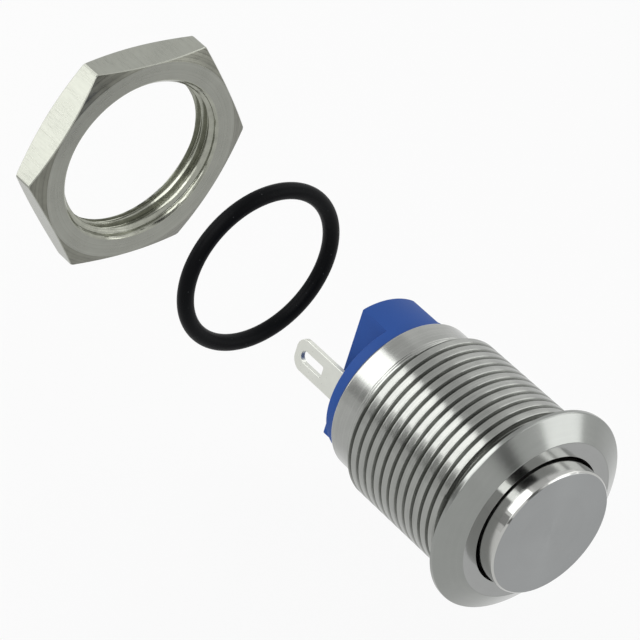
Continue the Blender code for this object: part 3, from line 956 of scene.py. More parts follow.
def soften(obj: bpy.types.Object, sharp_over: float = 30.0) -> None:
    """Shades a piece smooth and keeps its broad faces flat.

    Args:
        obj: The piece.
        sharp_over: Faces that bend more than this many degrees from each other stay sharp.
    """
    mesh = obj.data
    mesh.shade_smooth()
    points = read(mesh.loops, "vertex_index", 1, np.int64).ravel()
    sides = read(mesh.polygons, "loop_total", 1, np.int64).ravel()
    face = np.repeat(np.arange(len(sides)), sides)
    facing = read(mesh.polygons, "normal", 3)[face]
    pull = facing * read(mesh.polygons, "area", 1)[face] ** 2
    order = np.argsort(points, kind="stable")
    blend = pull.copy()
    limit = math.cos(math.radians(sharp_over))
    for step in range(1, int(np.bincount(points).max())):
        first, other = order[:-step], order[step:]
        meet = points[first] == points[other]
        first, other = first[meet], other[meet]
        close = np.einsum("ij,ij->i", facing[first], facing[other]) > limit
        first, other = first[close], other[close]
        blend[first] += pull[other]
        blend[other] += pull[first]
    length = np.linalg.norm(blend, axis=1, keepdims=True)
    mesh.normals_split_custom_set(blend / np.where(length > 0, length, 1.0))


def read(
    items: bpy.types.bpy_prop_collection, name: str, width: int, kind: type = float
) -> np.ndarray:
    """One value of every item in a mesh's list.

    Args:
        items: The list, such as the mesh's polygons.
        name: The value's name.
        width: Numbers in one value.
        kind: Type of the numbers.

    Returns:
        The values as rows.
    """
    values = np.empty(len(items) * width, dtype=kind)
    items.foreach_get(name, values)
    return values.reshape(-1, width)


def new_object(name: str, mesh: bpy.types.Mesh, turned: bool = False) -> bpy.types.Object:
    """Links a mesh to the scene.

    Args:
        name: The object's name.
        mesh: Its mesh.
        turned: True where the mesh's own axis is local Z, and has to lie along Y.

    Returns:
        The new object.
    """
    obj = bpy.data.objects.new(name, mesh)
    bpy.context.scene.collection.objects.link(obj)
    if turned:
        obj.matrix_world = ALONG_Y
    return obj


def rectangle(half_wide: float, half_tall: float, middle: float = 0.0) -> list[tuple[float, float]]:
    """The corners of a rectangle with its middle on the first axis."""
    left, right = middle - half_wide, middle + half_wide
    return [(left, -half_tall), (right, -half_tall), (right, half_tall), (left, half_tall)]


def prism(
    name: str, outline: Sequence[Sequence[float]], depth: Sequence[float], axes: str
) -> bpy.types.Object:
    """An outline drawn on two axes and pulled along the third.

    Args:
        name: The object's name.
        outline: Points on the first two axes.
        depth: Start and end on the third.
        axes: The three axes in order, such as "yzx".

    Returns:
        The prism as an object.
    """
    slots = ["xyz".index(axis) for axis in axes]
    work = bmesh.new()
    ends = []
    for level in depth:
        loop = []
        for first, second in outline:
            place = [0.0, 0.0, 0.0]
            for slot, value in zip(slots, (first, second, level)):
                place[slot] = value * MM
            loop.append(work.verts.new(place))
        ends.append(loop)
    work.faces.new(ends[0])
    work.faces.new(ends[1])
    for index in range(len(outline)):
        after = (index + 1) % len(outline)
        work.faces.new((ends[0][index], ends[0][after], ends[1][after], ends[1][index]))
    bmesh.ops.recalc_face_normals(work, faces=work.faces)
    mesh = bpy.data.meshes.new(name)
    work.to_mesh(mesh)
    work.free()
    return new_object(name, mesh)


def arc(
    centre: Sequence[float], radius: float, start: float, end: float, steps: int
) -> list[tuple[float, float]]:
    """Points on an arc.

    Args:
        centre: Middle of its circle.
        radius: Radius of its circle.
        start: Angle of its first point.
        end: Angle of its last point.
        steps: Equal steps between them.

    Returns:
        The points, both ends included.
    """
    angles = [math.radians(start + (end - start) * step / steps) for step in range(steps + 1)]
    return [
        (centre[0] + radius * math.cos(angle), centre[1] + radius * math.sin(angle))
        for angle in angles
    ]


def cut(obj: bpy.types.Object, tool: bpy.types.Object, operation: str = "DIFFERENCE") -> None:
    """Cuts an object with a tool, and removes the tool.

    Args:
        obj: The object.
        tool: The tool.
        operation: DIFFERENCE takes the tool's form away, INTERSECT keeps only what is in it.
    """
    modifier = obj.modifiers.new("cut", "BOOLEAN")
    modifier.operation = operation
    modifier.object = tool
    modifier.solver = "EXACT"
    apply_modifiers(obj)
    bpy.data.objects.remove(tool)


def break_edges(obj: bpy.types.Object, width: float, over: float = 40.0) -> None:
    """Rounds an object's edges.

    Args:
        obj: The object.
        width: Width of the rounds.
        over: Edges that bend by less than this stay as they are.
    """
    modifier = obj.modifiers.new("edges", "BEVEL")
    modifier.width = width * MM
    modifier.segments = EDGE_STEPS
    modifier.limit_method = "ANGLE"
    modifier.angle_limit = math.radians(over)
    apply_modifiers(obj)


def apply_modifiers(obj: bpy.types.Object) -> None:
    """Bakes an object's modifiers into its mesh.

    Args:
        obj: The object.
    """
    graph = bpy.context.evaluated_depsgraph_get()
    settled = bpy.data.meshes.new_from_object(obj.evaluated_get(graph))
    spare = obj.data
    obj.modifiers.clear()
    obj.data = settled
    bpy.data.meshes.remove(spare)


def dress(
    obj: bpy.types.Object, finishes: Sequence[MachinedMetal | MouldedSkin], body: Body
) -> bpy.types.Object:
    """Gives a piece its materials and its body.

    Args:
        obj: The piece.
        finishes: Its finishes, in the order of its material indices.
        body: The body that it rides on.

    Returns:
        The piece.
    """
    for finish in finishes:
        obj.data.materials.append(material_of(finish))
    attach(obj, body.value)
    LOG.info("%s: %d faces on %s", obj.name, len(obj.data.polygons), body.value)
    return obj


def material_of(finish: MachinedMetal | MouldedSkin) -> bpy.types.Material:
    """The material of a finish, made once."""
    return bpy.data.materials.get(finish.name) or finish.material()


# Sub-assemblies

THREAD_PITCH = 0.75
THREAD_DEPTH = 0.36
THREAD_CREST = 5.94
THREAD_START = 1.30
TURNS_TO_NUT = 51
CLOSED_ENDS = 2


class HousingSkin(IntEnum):
    """Material indices of the housing."""

    BORE = 0
    FLAT_RING = 1
    CONE = 2
    THREAD = 3
    BARREL = 4


@dataclass
class Housing:
    """The one-piece head and threaded barrel.

    Attributes:
        flat_ring_radius: Radius where the flat ring meets the cone.
        cap_hole_radius: Radius of the hole that the cap slides in.
        rim: Height of the straight rim.
        recess_radius: Radius of the recess for the sealing ring.
        recess_depth: Depth of that recess in the head's underside.
        undercut_radius: Radius of the undercut behind the head.
        undercut_end: Station where the undercut ends and the thread starts.
        thread_rear: Station where the thread ends.
        lead_in: How far the thread's ends are turned down.
        relief_radius: Radius of the groove behind the thread.
        relief_width: Width of that groove.
        rear_radius: Radius of the plain rear section.
        rear_edge: Size of the chamfer at the rear end.
        bore_radius: Radius of the seat for the rear moulding's flange.
        seat_depth: Depth of that seat.
        chamber_radius: Radius of the chamber behind the web.
        web_hole_radius: Radius of the hole for the guide bush.
        web_front: Station of the web's front side.
        web_rear: Station of the web's rear side.
        scribe_width: Width of a line scribed round the plain section.
        scribe_depth: Depth of such a line.
        scribe_spacing: Distance between two such lines.
        scribes: Number of such lines.
        sharp_over: Faces that bend more than this from each other stay sharp.
        front: Station of the flat ring.
        rear: Station of the rear end.
        head_radius: Radius of the head.
    """

    flat_ring_radius: float = 5.52
    cap_hole_radius: float = 4.53
    rim: float = 0.30
    recess_radius: float = 6.40
    recess_depth: float = 0.20
    undercut_radius: float = 5.10
    undercut_end: float = 1.00
    thread_rear: float = 9.55
    lead_in: float = 0.18
    relief_radius: float = 5.28
    relief_width: float = 0.20
    rear_radius: float = 5.40
    rear_edge: float = 0.22
    bore_radius: float = 5.05
    seat_depth: float = 0.90
    chamber_radius: float = 4.70
    web_hole_radius: float = 2.17
    web_front: float = 2.60
    web_rear: float = 3.40
    scribe_width: float = 0.075
    scribe_depth: float = 0.03
    scribe_spacing: float = 0.16
    scribes: int = 2
    sharp_over: float = 26.0
    front: float = field(init=False)
    rear: float = field(init=False)
    head_radius: float = field(init=False)

    def __post_init__(self) -> None:
        """Reads the overall sizes from the frame."""
        low, high = cad_span("bezel_housing")
        self.front, self.rear, self.head_radius = low.y, high.y, high.x

    def thread(self) -> Thread:
        """The barrel's thread."""
        return Thread(THREAD_CREST, THREAD_DEPTH, THREAD_PITCH, THREAD_START)

    def head(self) -> list[Corner]:
        """The outline from the barrel's inner end over the web and the head to the thread.

        Returns:
            Its corners in order.
        """
        bore, cone, plain = HousingSkin.BORE, HousingSkin.CONE, HousingSkin.BARREL
        hole, recess, seat = self.cap_hole_radius, self.recess_radius, -self.recess_depth
        chamber, web = self.chamber_radius, self.web_hole_radius
        return [
            Corner(chamber, self.rear - self.seat_depth, Edge.THIN, bore),
            Corner(chamber, self.web_rear, Edge.BROAD, bore),
            Corner(web, self.web_rear, Edge.THIN, bore),
            Corner(web, self.web_front, Edge.THIN, bore),
            Corner(hole, self.web_front, Edge.BROAD, bore),
            Corner(hole, self.front, Edge.FINE, HousingSkin.FLAT_RING),
            Corner(self.flat_ring_radius, self.front, Edge.FINE, cone),
            Corner(self.head_radius, -self.rim, Edge.SOFT, cone),
            Corner(self.head_radius, 0.0, Edge.PLAIN, cone),
            Corner(recess, 0.0, Edge.THIN, plain),
            Corner(recess, seat, Edge.THIN, plain),
            Corner(self.undercut_radius, seat, Edge.BROAD, plain),
            Corner(self.undercut_radius, self.undercut_end, Edge.SOFT, HousingSkin.THREAD),
        ]

    def tail(self) -> list[Corner]:
        """The outline from the thread's end over the plain section into the bore.

        Returns:
            Its corners in order.
        """
        plain, bore = HousingSkin.BARREL, HousingSkin.BORE
        relief_end = self.thread_rear + self.relief_width
        corners = [
            Corner(self.relief_radius, self.thread_rear, Edge.FINE, plain),
            Corner(self.relief_radius, relief_end, Edge.FINE, plain),
            Corner(self.rear_radius, relief_end, Edge.FINE, plain),
        ]
        for number in range(1, self.scribes + 1):
            start = relief_end + number * self.scribe_spacing
            middle, scribed = start + self.scribe_width / 2, self.rear_radius - self.scribe_depth
            corners += [
                Corner(self.rear_radius, start, Edge.HAIR, plain),
                Corner(scribed, middle, Edge.SCRIBED, plain),
                Corner(self.rear_radius, start + self.scribe_width, Edge.HAIR, plain),
            ]
        corners += [
            Corner(self.rear_radius, self.rear - self.rear_edge, Edge.BROAD, plain),
            Corner(self.rear_radius - self.rear_edge, self.rear, Edge.SOFT, plain),
            Corner(self.bore_radius, self.rear, Edge.HAIR, bore),
            Corner(self.bore_radius, self.rear - self.seat_depth, Edge.FINE, bore),
        ]
        return corners

    def build(self) -> bpy.types.Object:
        """Turns the housing and cuts its thread.

        Returns:
            The dressed piece.
        """
        low, high = self.undercut_end, self.thread_rear
        lathe = Lathe()
        lathe.outline(self.head())
        for ring in lathe.helix(self.thread(), low, high, HousingSkin.THREAD):
            to_end = np.minimum(high - ring.station, ring.station - low)
            ring.radius = np.minimum(ring.radius, THREAD_CREST - self.lead_in + to_end)
        lathe.outline(self.tail())
        housing = new_object("housing_skin", lathe.mesh("housing_skin", closed=True), turned=True)
        soften(housing, self.sharp_over)
        skins = Finishes
        metals = [skins.bore, skins.flat_ring, skins.cone, skins.thread, skins.barrel]
        dress(housing, metals, Body.SWITCH)
        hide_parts("bezel_housing")
        return housing


class CapSkin(IntEnum):
    """Material indices of the cap."""

    INSIDE = 0
    WALL = 1
    FACE = 2


@dataclass
class ButtonCap:
    """The pushed cap and its stem, turned as one piece.

    Attributes:
        skirt_end: Station where the cap's skirt ends.
        top: Thickness of the cap behind its face.
        wall: Thickness of the skirt.
        stem_radius: Radius of the stem.
        groove_radius: Radius at the bottom of the snap ring's groove.
        groove_front: Station of the groove's front side.
        groove_rear: Station of its rear side.
        edge: Size of the chamfer round the face.
        dish: How far the face sinks at its middle.
        face_rings: Rings from the face's edge to its middle.
        sharp_over: Faces that bend more than this from each other stay sharp.
        front: Station of the face.
        stem_end: Station of the stem's end.
        radius: Radius of the cap.
    """

    skirt_end: float = 1.00
    top: float = 0.80
    wall: float = 0.65
    stem_radius: float = 1.20
    groove_radius: float = 0.90
    groove_front: float = 4.30
    groove_rear: float = 4.59
    edge: float = 0.12
    dish: float = 0.012
    face_rings: int = 4
    sharp_over: float = 24.0
    front: float = field(init=False)
    stem_end: float = field(init=False)
    radius: float = field(init=False)

    def __post_init__(self) -> None:
        """Reads the overall sizes from the frame."""
        low, high = cad_span("button_cap")
        self.front, self.stem_end, self.radius = low.y, high.y, high.x

    def outline(self) -> list[Corner]:
        """The outline from the stem's end to the middle of the face.

        Returns:
            Its corners in order.
        """
        inside, wall, face = CapSkin.INSIDE, CapSkin.WALL, CapSkin.FACE
        stem, inner_wall = self.stem_radius, self.radius - self.wall
        ceiling, face_radius = self.front + self.top, self.radius - self.edge
        corners = [
            Corner(0.0, self.stem_end, 0.0, inside),
            Corner(stem, self.stem_end, Edge.ROUND, inside),
            Corner(stem, self.groove_rear, Edge.HAIR, inside),
            Corner(self.groove_radius, self.groove_rear, 0.0, inside),
            Corner(self.groove_radius, self.groove_front, 0.0, inside),
            Corner(stem, self.groove_front, Edge.HAIR, inside),
            Corner(stem, ceiling, Edge.ROUND, inside),
            Corner(inner_wall, ceiling, Edge.ROUND, inside),
            Corner(inner_wall, self.skirt_end, Edge.PLAIN, wall),
            Corner(self.radius, self.skirt_end, Edge.PLAIN, wall),
            Corner(self.radius, self.front + self.edge, Edge.FINE, wall),
            Corner(face_radius, self.front, Edge.FINE, face),
        ]
        for ring in range(1, self.face_rings + 1):
            share = 1 - ring / self.face_rings
            sink = self.dish * (1 - share**2)
            corners.append(Corner(face_radius * share, self.front + sink, 0.0, face))
        return corners

    def build(self) -> bpy.types.Object:
        """Turns the cap.

        Returns:
            The dressed piece.
        """
        lathe = Lathe()
        lathe.outline(self.outline())
        cap = new_object("cap_skin", lathe.mesh("cap_skin", closed=False), turned=True)
        soften(cap, self.sharp_over)
        metals = [Finishes.bore, Finishes.cap_wall, Finishes.face]
        dress(cap, metals, Body.BUTTON)
        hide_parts("button_cap")
        return cap


@dataclass
class RearBase:
    """The blue moulding: a plug with the contact pocket, a flange, and the lugs' barrier.

    Attributes:
        plug_radius: Radius of the plug inside the housing.
        pocket_radius: Radius of the pocket for the contacts.
        flange_front: Station of the flange's front side.
        pocket_floor: Station of the pocket's floor.
        shoulder: Station of the flange's rear side.
        barrier_half: Half the barrier's thickness.
        edge: Size of the rounds on the shoulder and the barrier.
        slot_middle: Distance from the axis to the middle of a terminal's slot.
        slot_half: Half a slot's width.
        slot_reach: Half a slot's length.
        slot_margin: How far the slot's tool reaches past the moulding.
        edge_rings: Rings in one round.
        front: Station of the plug's end.
        top: Station of the barrier's end.
        radius: Radius of the flange.
    """

    plug_radius: float = 4.65
    pocket_radius: float = 3.90
    flange_front: float = 11.49
    pocket_floor: float = 10.39
    shoulder: float = 12.85
    barrier_half: float = 2.045
    edge: float = 0.10
    slot_middle: float = 3.40
    slot_half: float = 0.195
    slot_reach: float = 1.12
    slot_margin: float = 1.0
    edge_rings: int = 5
    front: float = field(init=False)
    top: float = field(init=False)
    radius: float = field(init=False)

    def __post_init__(self) -> None:
        """Reads the overall sizes from the frame."""
        low, high = cad_span("rear_base")
        self.front, self.top, self.radius = low.y, high.y, high.z

    def barrier_radius(self, angles: Angles, inset: float = 0.0) -> Angles:
        """The barrier's outline: flat on two sides and round at its ends.

        Args:
            angles: Angles round the axis in radians.
            inset: Margin that the outline is set in by.

        Returns:
            The distance from the axis at each angle.
        """
        sideways = np.maximum(np.abs(np.sin(angles)), TINY)
        return np.minimum(self.radius - inset, (self.barrier_half - inset) / sideways)

    def build(self) -> bpy.types.Object:
        """Makes the moulding and cuts the slots for the terminals.

        Returns:
            The dressed piece.
        """
        corner = math.degrees(math.asin(self.barrier_half / self.radius))
        marks = (corner, HALF_TURN - corner, HALF_TURN + corner, FULL_TURN - corner)
        lathe = Lathe(marks=marks)
        lathe.outline(
            [
                Corner(0.0, self.pocket_floor),
                Corner(self.pocket_radius, self.pocket_floor, Edge.ROUND),
                Corner(self.pocket_radius, self.front, Edge.PLAIN),
                Corner(self.plug_radius, self.front, Edge.ROUND),
                Corner(self.plug_radius, self.flange_front, Edge.PLAIN),
                Corner(self.radius, self.flange_front),
            ]
        )
        self.add_barrier(lathe)
        mesh = lathe.mesh("rear_moulding", closed=False)
        base = new_object("rear_moulding", mesh, turned=True)
        base.data.transform(ALONG_Y)
        base.matrix_world = Matrix.Identity(4)
        self.cut_slots(base)
        soften(base)
        dress(base, [Finishes.blue], Body.SWITCH)
        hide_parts("rear_base")
        return base

    def add_barrier(self, lathe: Lathe) -> None:
        """Adds the rings of the shoulder, the barrier's walls and its rounded top.

        Args:
            lathe: The lathe that turns the moulding.
        """
        foot = self.barrier_radius(lathe.angles)
        swings = np.linspace(0.0, math.pi / 2, self.edge_rings)
        insets, drops = self.edge * (1 - np.cos(swings)), self.edge * (1 - np.sin(swings))
        for inset, drop in zip(insets, drops):
            lathe.ring(np.maximum(self.radius - inset, foot), self.shoulder - drop)
        lathe.ring(foot, self.shoulder)
        for inset, drop in zip(insets, drops):
            lathe.ring(self.barrier_radius(lathe.angles, inset), self.top - drop)
        lathe.ring(0.0, self.top)

    def cut_slots(self, base: bpy.types.Object) -> None:
        """Cuts the two slots that the terminals pass through.

        Args:
            base: The moulding.
        """
        span = (self.pocket_floor - self.slot_margin, self.shoulder + self.slot_margin)
        for side in (-1, 1):
            outline = rectangle(self.slot_half, self.slot_reach, side * self.slot_middle)
            cut(base, prism("slot_tool", outline, span, "xzy"))


@dataclass
class Terminal:
    """A bent strip: its foot in the base's pocket and its blade ending in a solder lug.

    Attributes:
        side: -1 for the left strip and 1 for the right one.
        name: The piece's name.
        node: The node that it replaces.
        middle: Distance from the axis to the middle of the blade.
        thickness: Thickness of the strip.
        width: Width of the strip.
        foot: Length of the foot with the blade's thickness.
        bend: Inner radius of the bend.
        tip_corner: Radius of the lug's corners.
        slot_width: Width of the solder slot.
        slot_length: Length of the solder slot.
        slot_inset: Distance from the lug's tip to the slot.
        rivet_offset: Distance from the axis to the rivet's hole.
        rivet_radius: Radius of the rivet's hole.
        edge: Width of the broken edges.
        margin: How far the tools reach past the strip.
        rivet_margin: How far the rivet's tool reaches past the foot's rear side.
        bend_steps: Steps in the bend's outer arc.
        inner_bend_steps: Steps in its inner arc.
        round_steps: Steps in a lug's corner and in the slot's round end.
        slot_corner_share: Radius of the slot's inner corners as a share of its width.
        slot_corner_steps: Steps in such a corner.
        rivet_sides: Sides of the rivet's hole.
        sharp_over: Faces that bend more than this from each other stay sharp.
        front: Station of the foot.
        tip: Station of the lug's tip.
    """

    side: int
    name: str
    node: str
    middle: float = 3.40
    thickness: float = 0.35
    width: float = 2.20
    foot: float = 1.80
    bend: float = 0.04
    tip_corner: float = 0.82
    slot_width: float = 0.80
    slot_length: float = 2.10
    slot_inset: float = 0.55
    rivet_offset: float = 2.40
    rivet_radius: float = 0.32
    edge: float = 0.05
    margin: float = 1.0
    rivet_margin: float = 0.25
    bend_steps: int = 12
    inner_bend_steps: int = 4
    round_steps: int = 20
    slot_corner_share: float = 0.12
    slot_corner_steps: int = 5
    rivet_sides: int = 24
    sharp_over: float = 40.0
    front: float = field(init=False)
    tip: float = field(init=False)

    def __post_init__(self) -> None:
        """Reads the overall sizes from the frame."""
        low, high = cad_span(self.node)
        self.front, self.tip = low.y, high.y

    def strip(self) -> bpy.types.Object:
        """The bent strip, as wide as its lug all over.

        Returns:
            The strip as an object.
        """
        outer = self.middle + self.thickness / 2
        inner = self.middle - self.thickness / 2
        turn = self.bend + self.thickness
        rear = self.front + self.thickness
        outline = [(outer - self.foot, self.front)]
        outline += arc((outer - turn, self.front + turn), turn, -90, 0, self.bend_steps)
        outline += [(outer, self.tip), (inner, self.tip)]
        inner_centre = (inner - self.bend, rear + self.bend)
        outline += arc(inner_centre, self.bend, 0, -90, self.inner_bend_steps)
        outline += [(outer - self.foot, rear)]
        placed = [(self.side * across, along) for across, along in outline]
        return prism(self.name, placed, (-self.width / 2, self.width / 2), "xyz")

    def blank(self) -> list[tuple[float, float]]:
        """The strip's outline seen from its side, with the lug's rounded corners.

        Returns:
            Its points in order.
        """
        half, corner, wide = self.width / 2, self.tip_corner, self.width / 2 + self.margin
        start, waist = self.front - self.margin, self.front + self.margin
        steps = self.round_steps
        shape = [(start, -wide), (waist, -wide), (waist, -half)]
        shape += arc((self.tip - corner, corner - half), corner, -90, 0, steps)
        shape += arc((self.tip - corner, half - corner), corner, 0, 90, steps)
        return shape + [(waist, half), (waist, wide), (start, wide)]

    def slot(self) -> list[tuple[float, float]]:
        """The solder slot's outline, round at its outer end.

        Returns:
            Its points in order.
        """
        half, steps = self.slot_width / 2, self.slot_corner_steps
        end = self.tip - self.slot_inset
        start, corner = end - self.slot_length, self.slot_width * self.slot_corner_share
        shape = arc((end - half, 0.0), half, -90, 90, self.round_steps)
        shape += arc((start + corner, half - corner), corner, 90, 180, steps)
        return shape + arc((start + corner, corner - half), corner, 180, 270, steps)

    def build(self) -> bpy.types.Object:
        """Bends the strip, stamps its lug and breaks its edges.

        Returns:
            The dressed piece.
        """
        strip = self.strip()
        reach = self.side * (self.middle + self.thickness + self.margin)
        depth = sorted((0.0, reach))
        cut(strip, prism("blank_tool", self.blank(), depth, "yzx"), "INTERSECT")
        cut(strip, prism("lug_slot_tool", self.slot(), depth, "yzx"))
        last = FULL_TURN - FULL_TURN / self.rivet_sides
        centre = (self.side * self.rivet_offset, 0.0)
        hole = arc(centre, self.rivet_radius, 0, last, self.rivet_sides - 1)
        span = (self.front - self.margin, self.front + self.thickness + self.rivet_margin)
        cut(strip, prism("rivet_tool", hole, span, "xzy"))
        break_edges(strip, self.edge)
        soften(strip, self.sharp_over)
        dress(strip, [Finishes.lug], Body.SWITCH)
        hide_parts(self.node)
        return strip


@dataclass
class SealingRing:
    """The rubber ring that seals the head on the panel.

    Attributes:
        cord: Diameter of the ring's round section.
        sides: Steps round the section.
        station: Station of the ring's middle.
        radius: Distance from the axis to the section's middle.
    """

    cord: float = 1.10
    sides: int = 40
    station: float = field(init=False)
    radius: float = field(init=False)

    def __post_init__(self) -> None:
        """Reads the ring's place and size from the frame."""
        low, high = cad_span("panel_o_ring")
        self.station = (low.y + high.y) / 2
        self.radius = high.z - self.cord / 2

    def build(self) -> bpy.types.Object:
        """Makes the ring from rings of its round section.

        Returns:
            The dressed piece.
        """
        lathe, half = Lathe(), self.cord / 2
        for side in range(self.sides):
            angle = math.tau * side / self.sides
            lathe.ring(self.radius + half * math.cos(angle), self.station + half * math.sin(angle))
        mesh = lathe.mesh("sealing_ring_skin", closed=True)
        ring = new_object("sealing_ring_skin", mesh, turned=True)
        soften(ring)
        dress(ring, [Finishes.rubber], Body.SEALING_RING)
        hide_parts("panel_o_ring")
        return ring


class NutSkin(IntEnum):
    """Material indices of the nut."""

    BORE = 0
    FACE = 1
    CHAMFER = 2
    FLAT = 3


@dataclass
class LockNut:
    """The thin hexagon nut with its corners turned back.

    Attributes:
        flat_offset: Distance from the axis to a flat.
        clock: Angle of the first corner.
        face_radius: Radius where a face meets the chamfer.
        chamfer_slope: Slope of the chamfer to the face.
        mouth_radius: Radius of the bore at both faces.
        running_gap: Gap to the barrel's thread.
        corner_round: How far a corner is broken.
        corner_width: Degrees from a corner to the column on either side of it.
        edge: Size of the other broken edges.
        flats: Number of flats.
        sharp_over: Faces that bend more than this from each other stay sharp.
        front: Station of the front face.
        rear: Station of the rear face.
    """

    flat_offset: float = 7.50
    clock: float = 21.6
    face_radius: float = 7.45
    chamfer_slope: float = 20.0
    mouth_radius: float = 6.11
    running_gap: float = 0.05
    corner_round: float = 0.03
    corner_width: float = 0.55
    edge: float = 0.05
    flats: int = 6
    sharp_over: float = 18.0
    front: float = field(init=False)
    rear: float = field(init=False)

    def __post_init__(self) -> None:
        """Reads the nut's place from the frame."""
        low, high = cad_span("lock_nut")
        self.front, self.rear = low.y, high.y

    def thread(self) -> Thread:
        """The nut's thread: the barrel's, a whole number of turns on, with its running gap."""
        start = THREAD_START + TURNS_TO_NUT * THREAD_PITCH
        return Thread(THREAD_CREST + self.running_gap, THREAD_DEPTH, THREAD_PITCH, start)

    def hexagon(self, degrees: Angles) -> Angles:
        """The outline of the flats, with the corners just broken.

        Args:
            degrees: Angles round the axis.

        Returns:
            The distance from the axis at each angle.
        """
        share = FULL_TURN / self.flats
        off_corner = np.mod(degrees - self.clock, share)
        off_flat = np.radians(off_corner - share / 2)
        corner = self.flat_offset / math.cos(math.radians(share / 2)) - self.corner_round
        return np.minimum(self.flat_offset / np.cos(off_flat), corner)

    def build(self) -> bpy.types.Object:
        """Turns the faces, mills the flats and taps the bore.

        Returns:
            The dressed piece.
        """
        share = FULL_TURN / self.flats
        corners = [self.clock + share * corner for corner in range(self.flats)]
        marks = tuple(corner + side * self.corner_width for corner in corners for side in (-1, 1))
        lathe = Lathe(marks=marks)
        for ring in lathe.helix(self.thread(), self.front, self.rear, NutSkin.BORE):
            depth = np.minimum(ring.station - self.front, self.rear - ring.station)
            ring.radius = np.maximum(ring.radius, self.mouth_radius - depth)
        hexagon = self.hexagon(lathe.degrees)
        slope = math.tan(math.radians(self.chamfer_slope))
        drop = (hexagon - self.face_radius) * slope
        lathe.ring(self.mouth_radius + self.edge, self.rear, NutSkin.FACE)
        lathe.ring(self.face_radius, self.rear, NutSkin.CHAMFER)
        lathe.ring(hexagon - self.edge, self.rear - drop + self.edge * slope, NutSkin.FLAT)
        lathe.ring(hexagon, self.rear - drop - self.edge, NutSkin.FLAT)
        lathe.ring(hexagon, self.front + drop + self.edge, NutSkin.FLAT)
        lathe.ring(hexagon - self.edge, self.front + drop - self.edge * slope, NutSkin.CHAMFER)
        lathe.ring(self.face_radius, self.front, NutSkin.FACE)
        lathe.ring(self.mouth_radius + self.edge, self.front, NutSkin.BORE)
        nut = new_object("lock_nut_skin", lathe.mesh("lock_nut_skin", closed=True), turned=True)
        soften(nut, self.sharp_over)
        metals = [Finishes.nut_bore, Finishes.nut_face, Finishes.nut_chamfer, Finishes.nut_flat]
        dress(nut, metals, Body.NUT)
        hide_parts("lock_nut")
        return nut


@dataclass
class CoilSpring:
    """A compression spring with closed ends.

    Attributes:
        name: The piece's name.
        node: The node that it replaces.
        wire: Diameter of the wire.
        radius: Mean radius of the coil.
        turns: Turns with both closed ends.
        body: The body that it rides on.
        joint: Name of a joint; not used.
        fixed_end: Station that stays; not used.
        keep: Share of the length that is left at the joint's limit; not used.
        steps: Steps in one turn.
        sides: Sides of the wire's section.
        closed_pitch: Pitch of a closed end, as a share of the wire.
        sharp_over: Faces that bend more than this from each other stay sharp.
        front: Station of the front end.
        rear: Station of the rear end.
    """

    name: str
    node: str
    wire: float
    radius: float
    turns: int
    body: Body
    joint: str
    fixed_end: float
    keep: float
    steps: int = 40
    sides: int = 12
    closed_pitch: float = 1.2
    sharp_over: float = 45.0
    front: float = field(init=False)
    rear: float = field(init=False)

    def __post_init__(self) -> None:
        """Reads the spring's ends from the frame."""
        low, high = cad_span(self.node)
        self.front, self.rear = low.y, high.y

    def climb(self, turn: float) -> float:
        """The station of the wire's middle.

        Args:
            turn: Turns wound so far.

        Returns:
            The place along the axis.
        """
        closed, open_turns = self.wire * self.closed_pitch, self.turns - CLOSED_ENDS
        free = self.rear - self.front - self.wire
        open_pitch = (free - CLOSED_ENDS * closed) / open_turns
        ends = (min(turn, 1.0) + max(turn - self.turns + 1, 0.0)) * closed
        between = min(max(turn - 1, 0.0), open_turns) * open_pitch
        return self.front + self.wire / 2 + ends + between

    def build(self) -> bpy.types.Object:
        """Winds the wire and puts it on its body.

        Returns:
            The dressed piece.
        """
        points, faces = [], []
        stops = self.turns * self.steps
        for stop in range(stops + 1):
            angle = math.tau * stop / self.steps
            for side in range(self.sides):
                lean = math.tau * side / self.sides
                out = self.radius + self.wire / 2 * math.cos(lean)
                along = self.climb(stop / self.steps) + self.wire / 2 * math.sin(lean)
                points.append((out * math.cos(angle) * MM, along * MM, out * math.sin(angle) * MM))
        for stop in range(stops):
            for side in range(self.sides):
                beside = (side + 1) % self.sides
                here, ahead = stop * self.sides, (stop + 1) * self.sides
                faces.append((here + side, here + beside, ahead + beside, ahead + side))
        faces.append(tuple(range(self.sides)))
        faces.append(tuple(stops * self.sides + side for side in range(self.sides)))
        mesh = bpy.data.meshes.new(self.name)
        mesh.from_pydata(points, [], faces)
        weld(mesh)
        spring = new_object(self.name, mesh)
        soften(spring, self.sharp_over)
        dress(spring, [Finishes.spring], self.body)
        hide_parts(self.node)
        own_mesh(spring)
        return spring


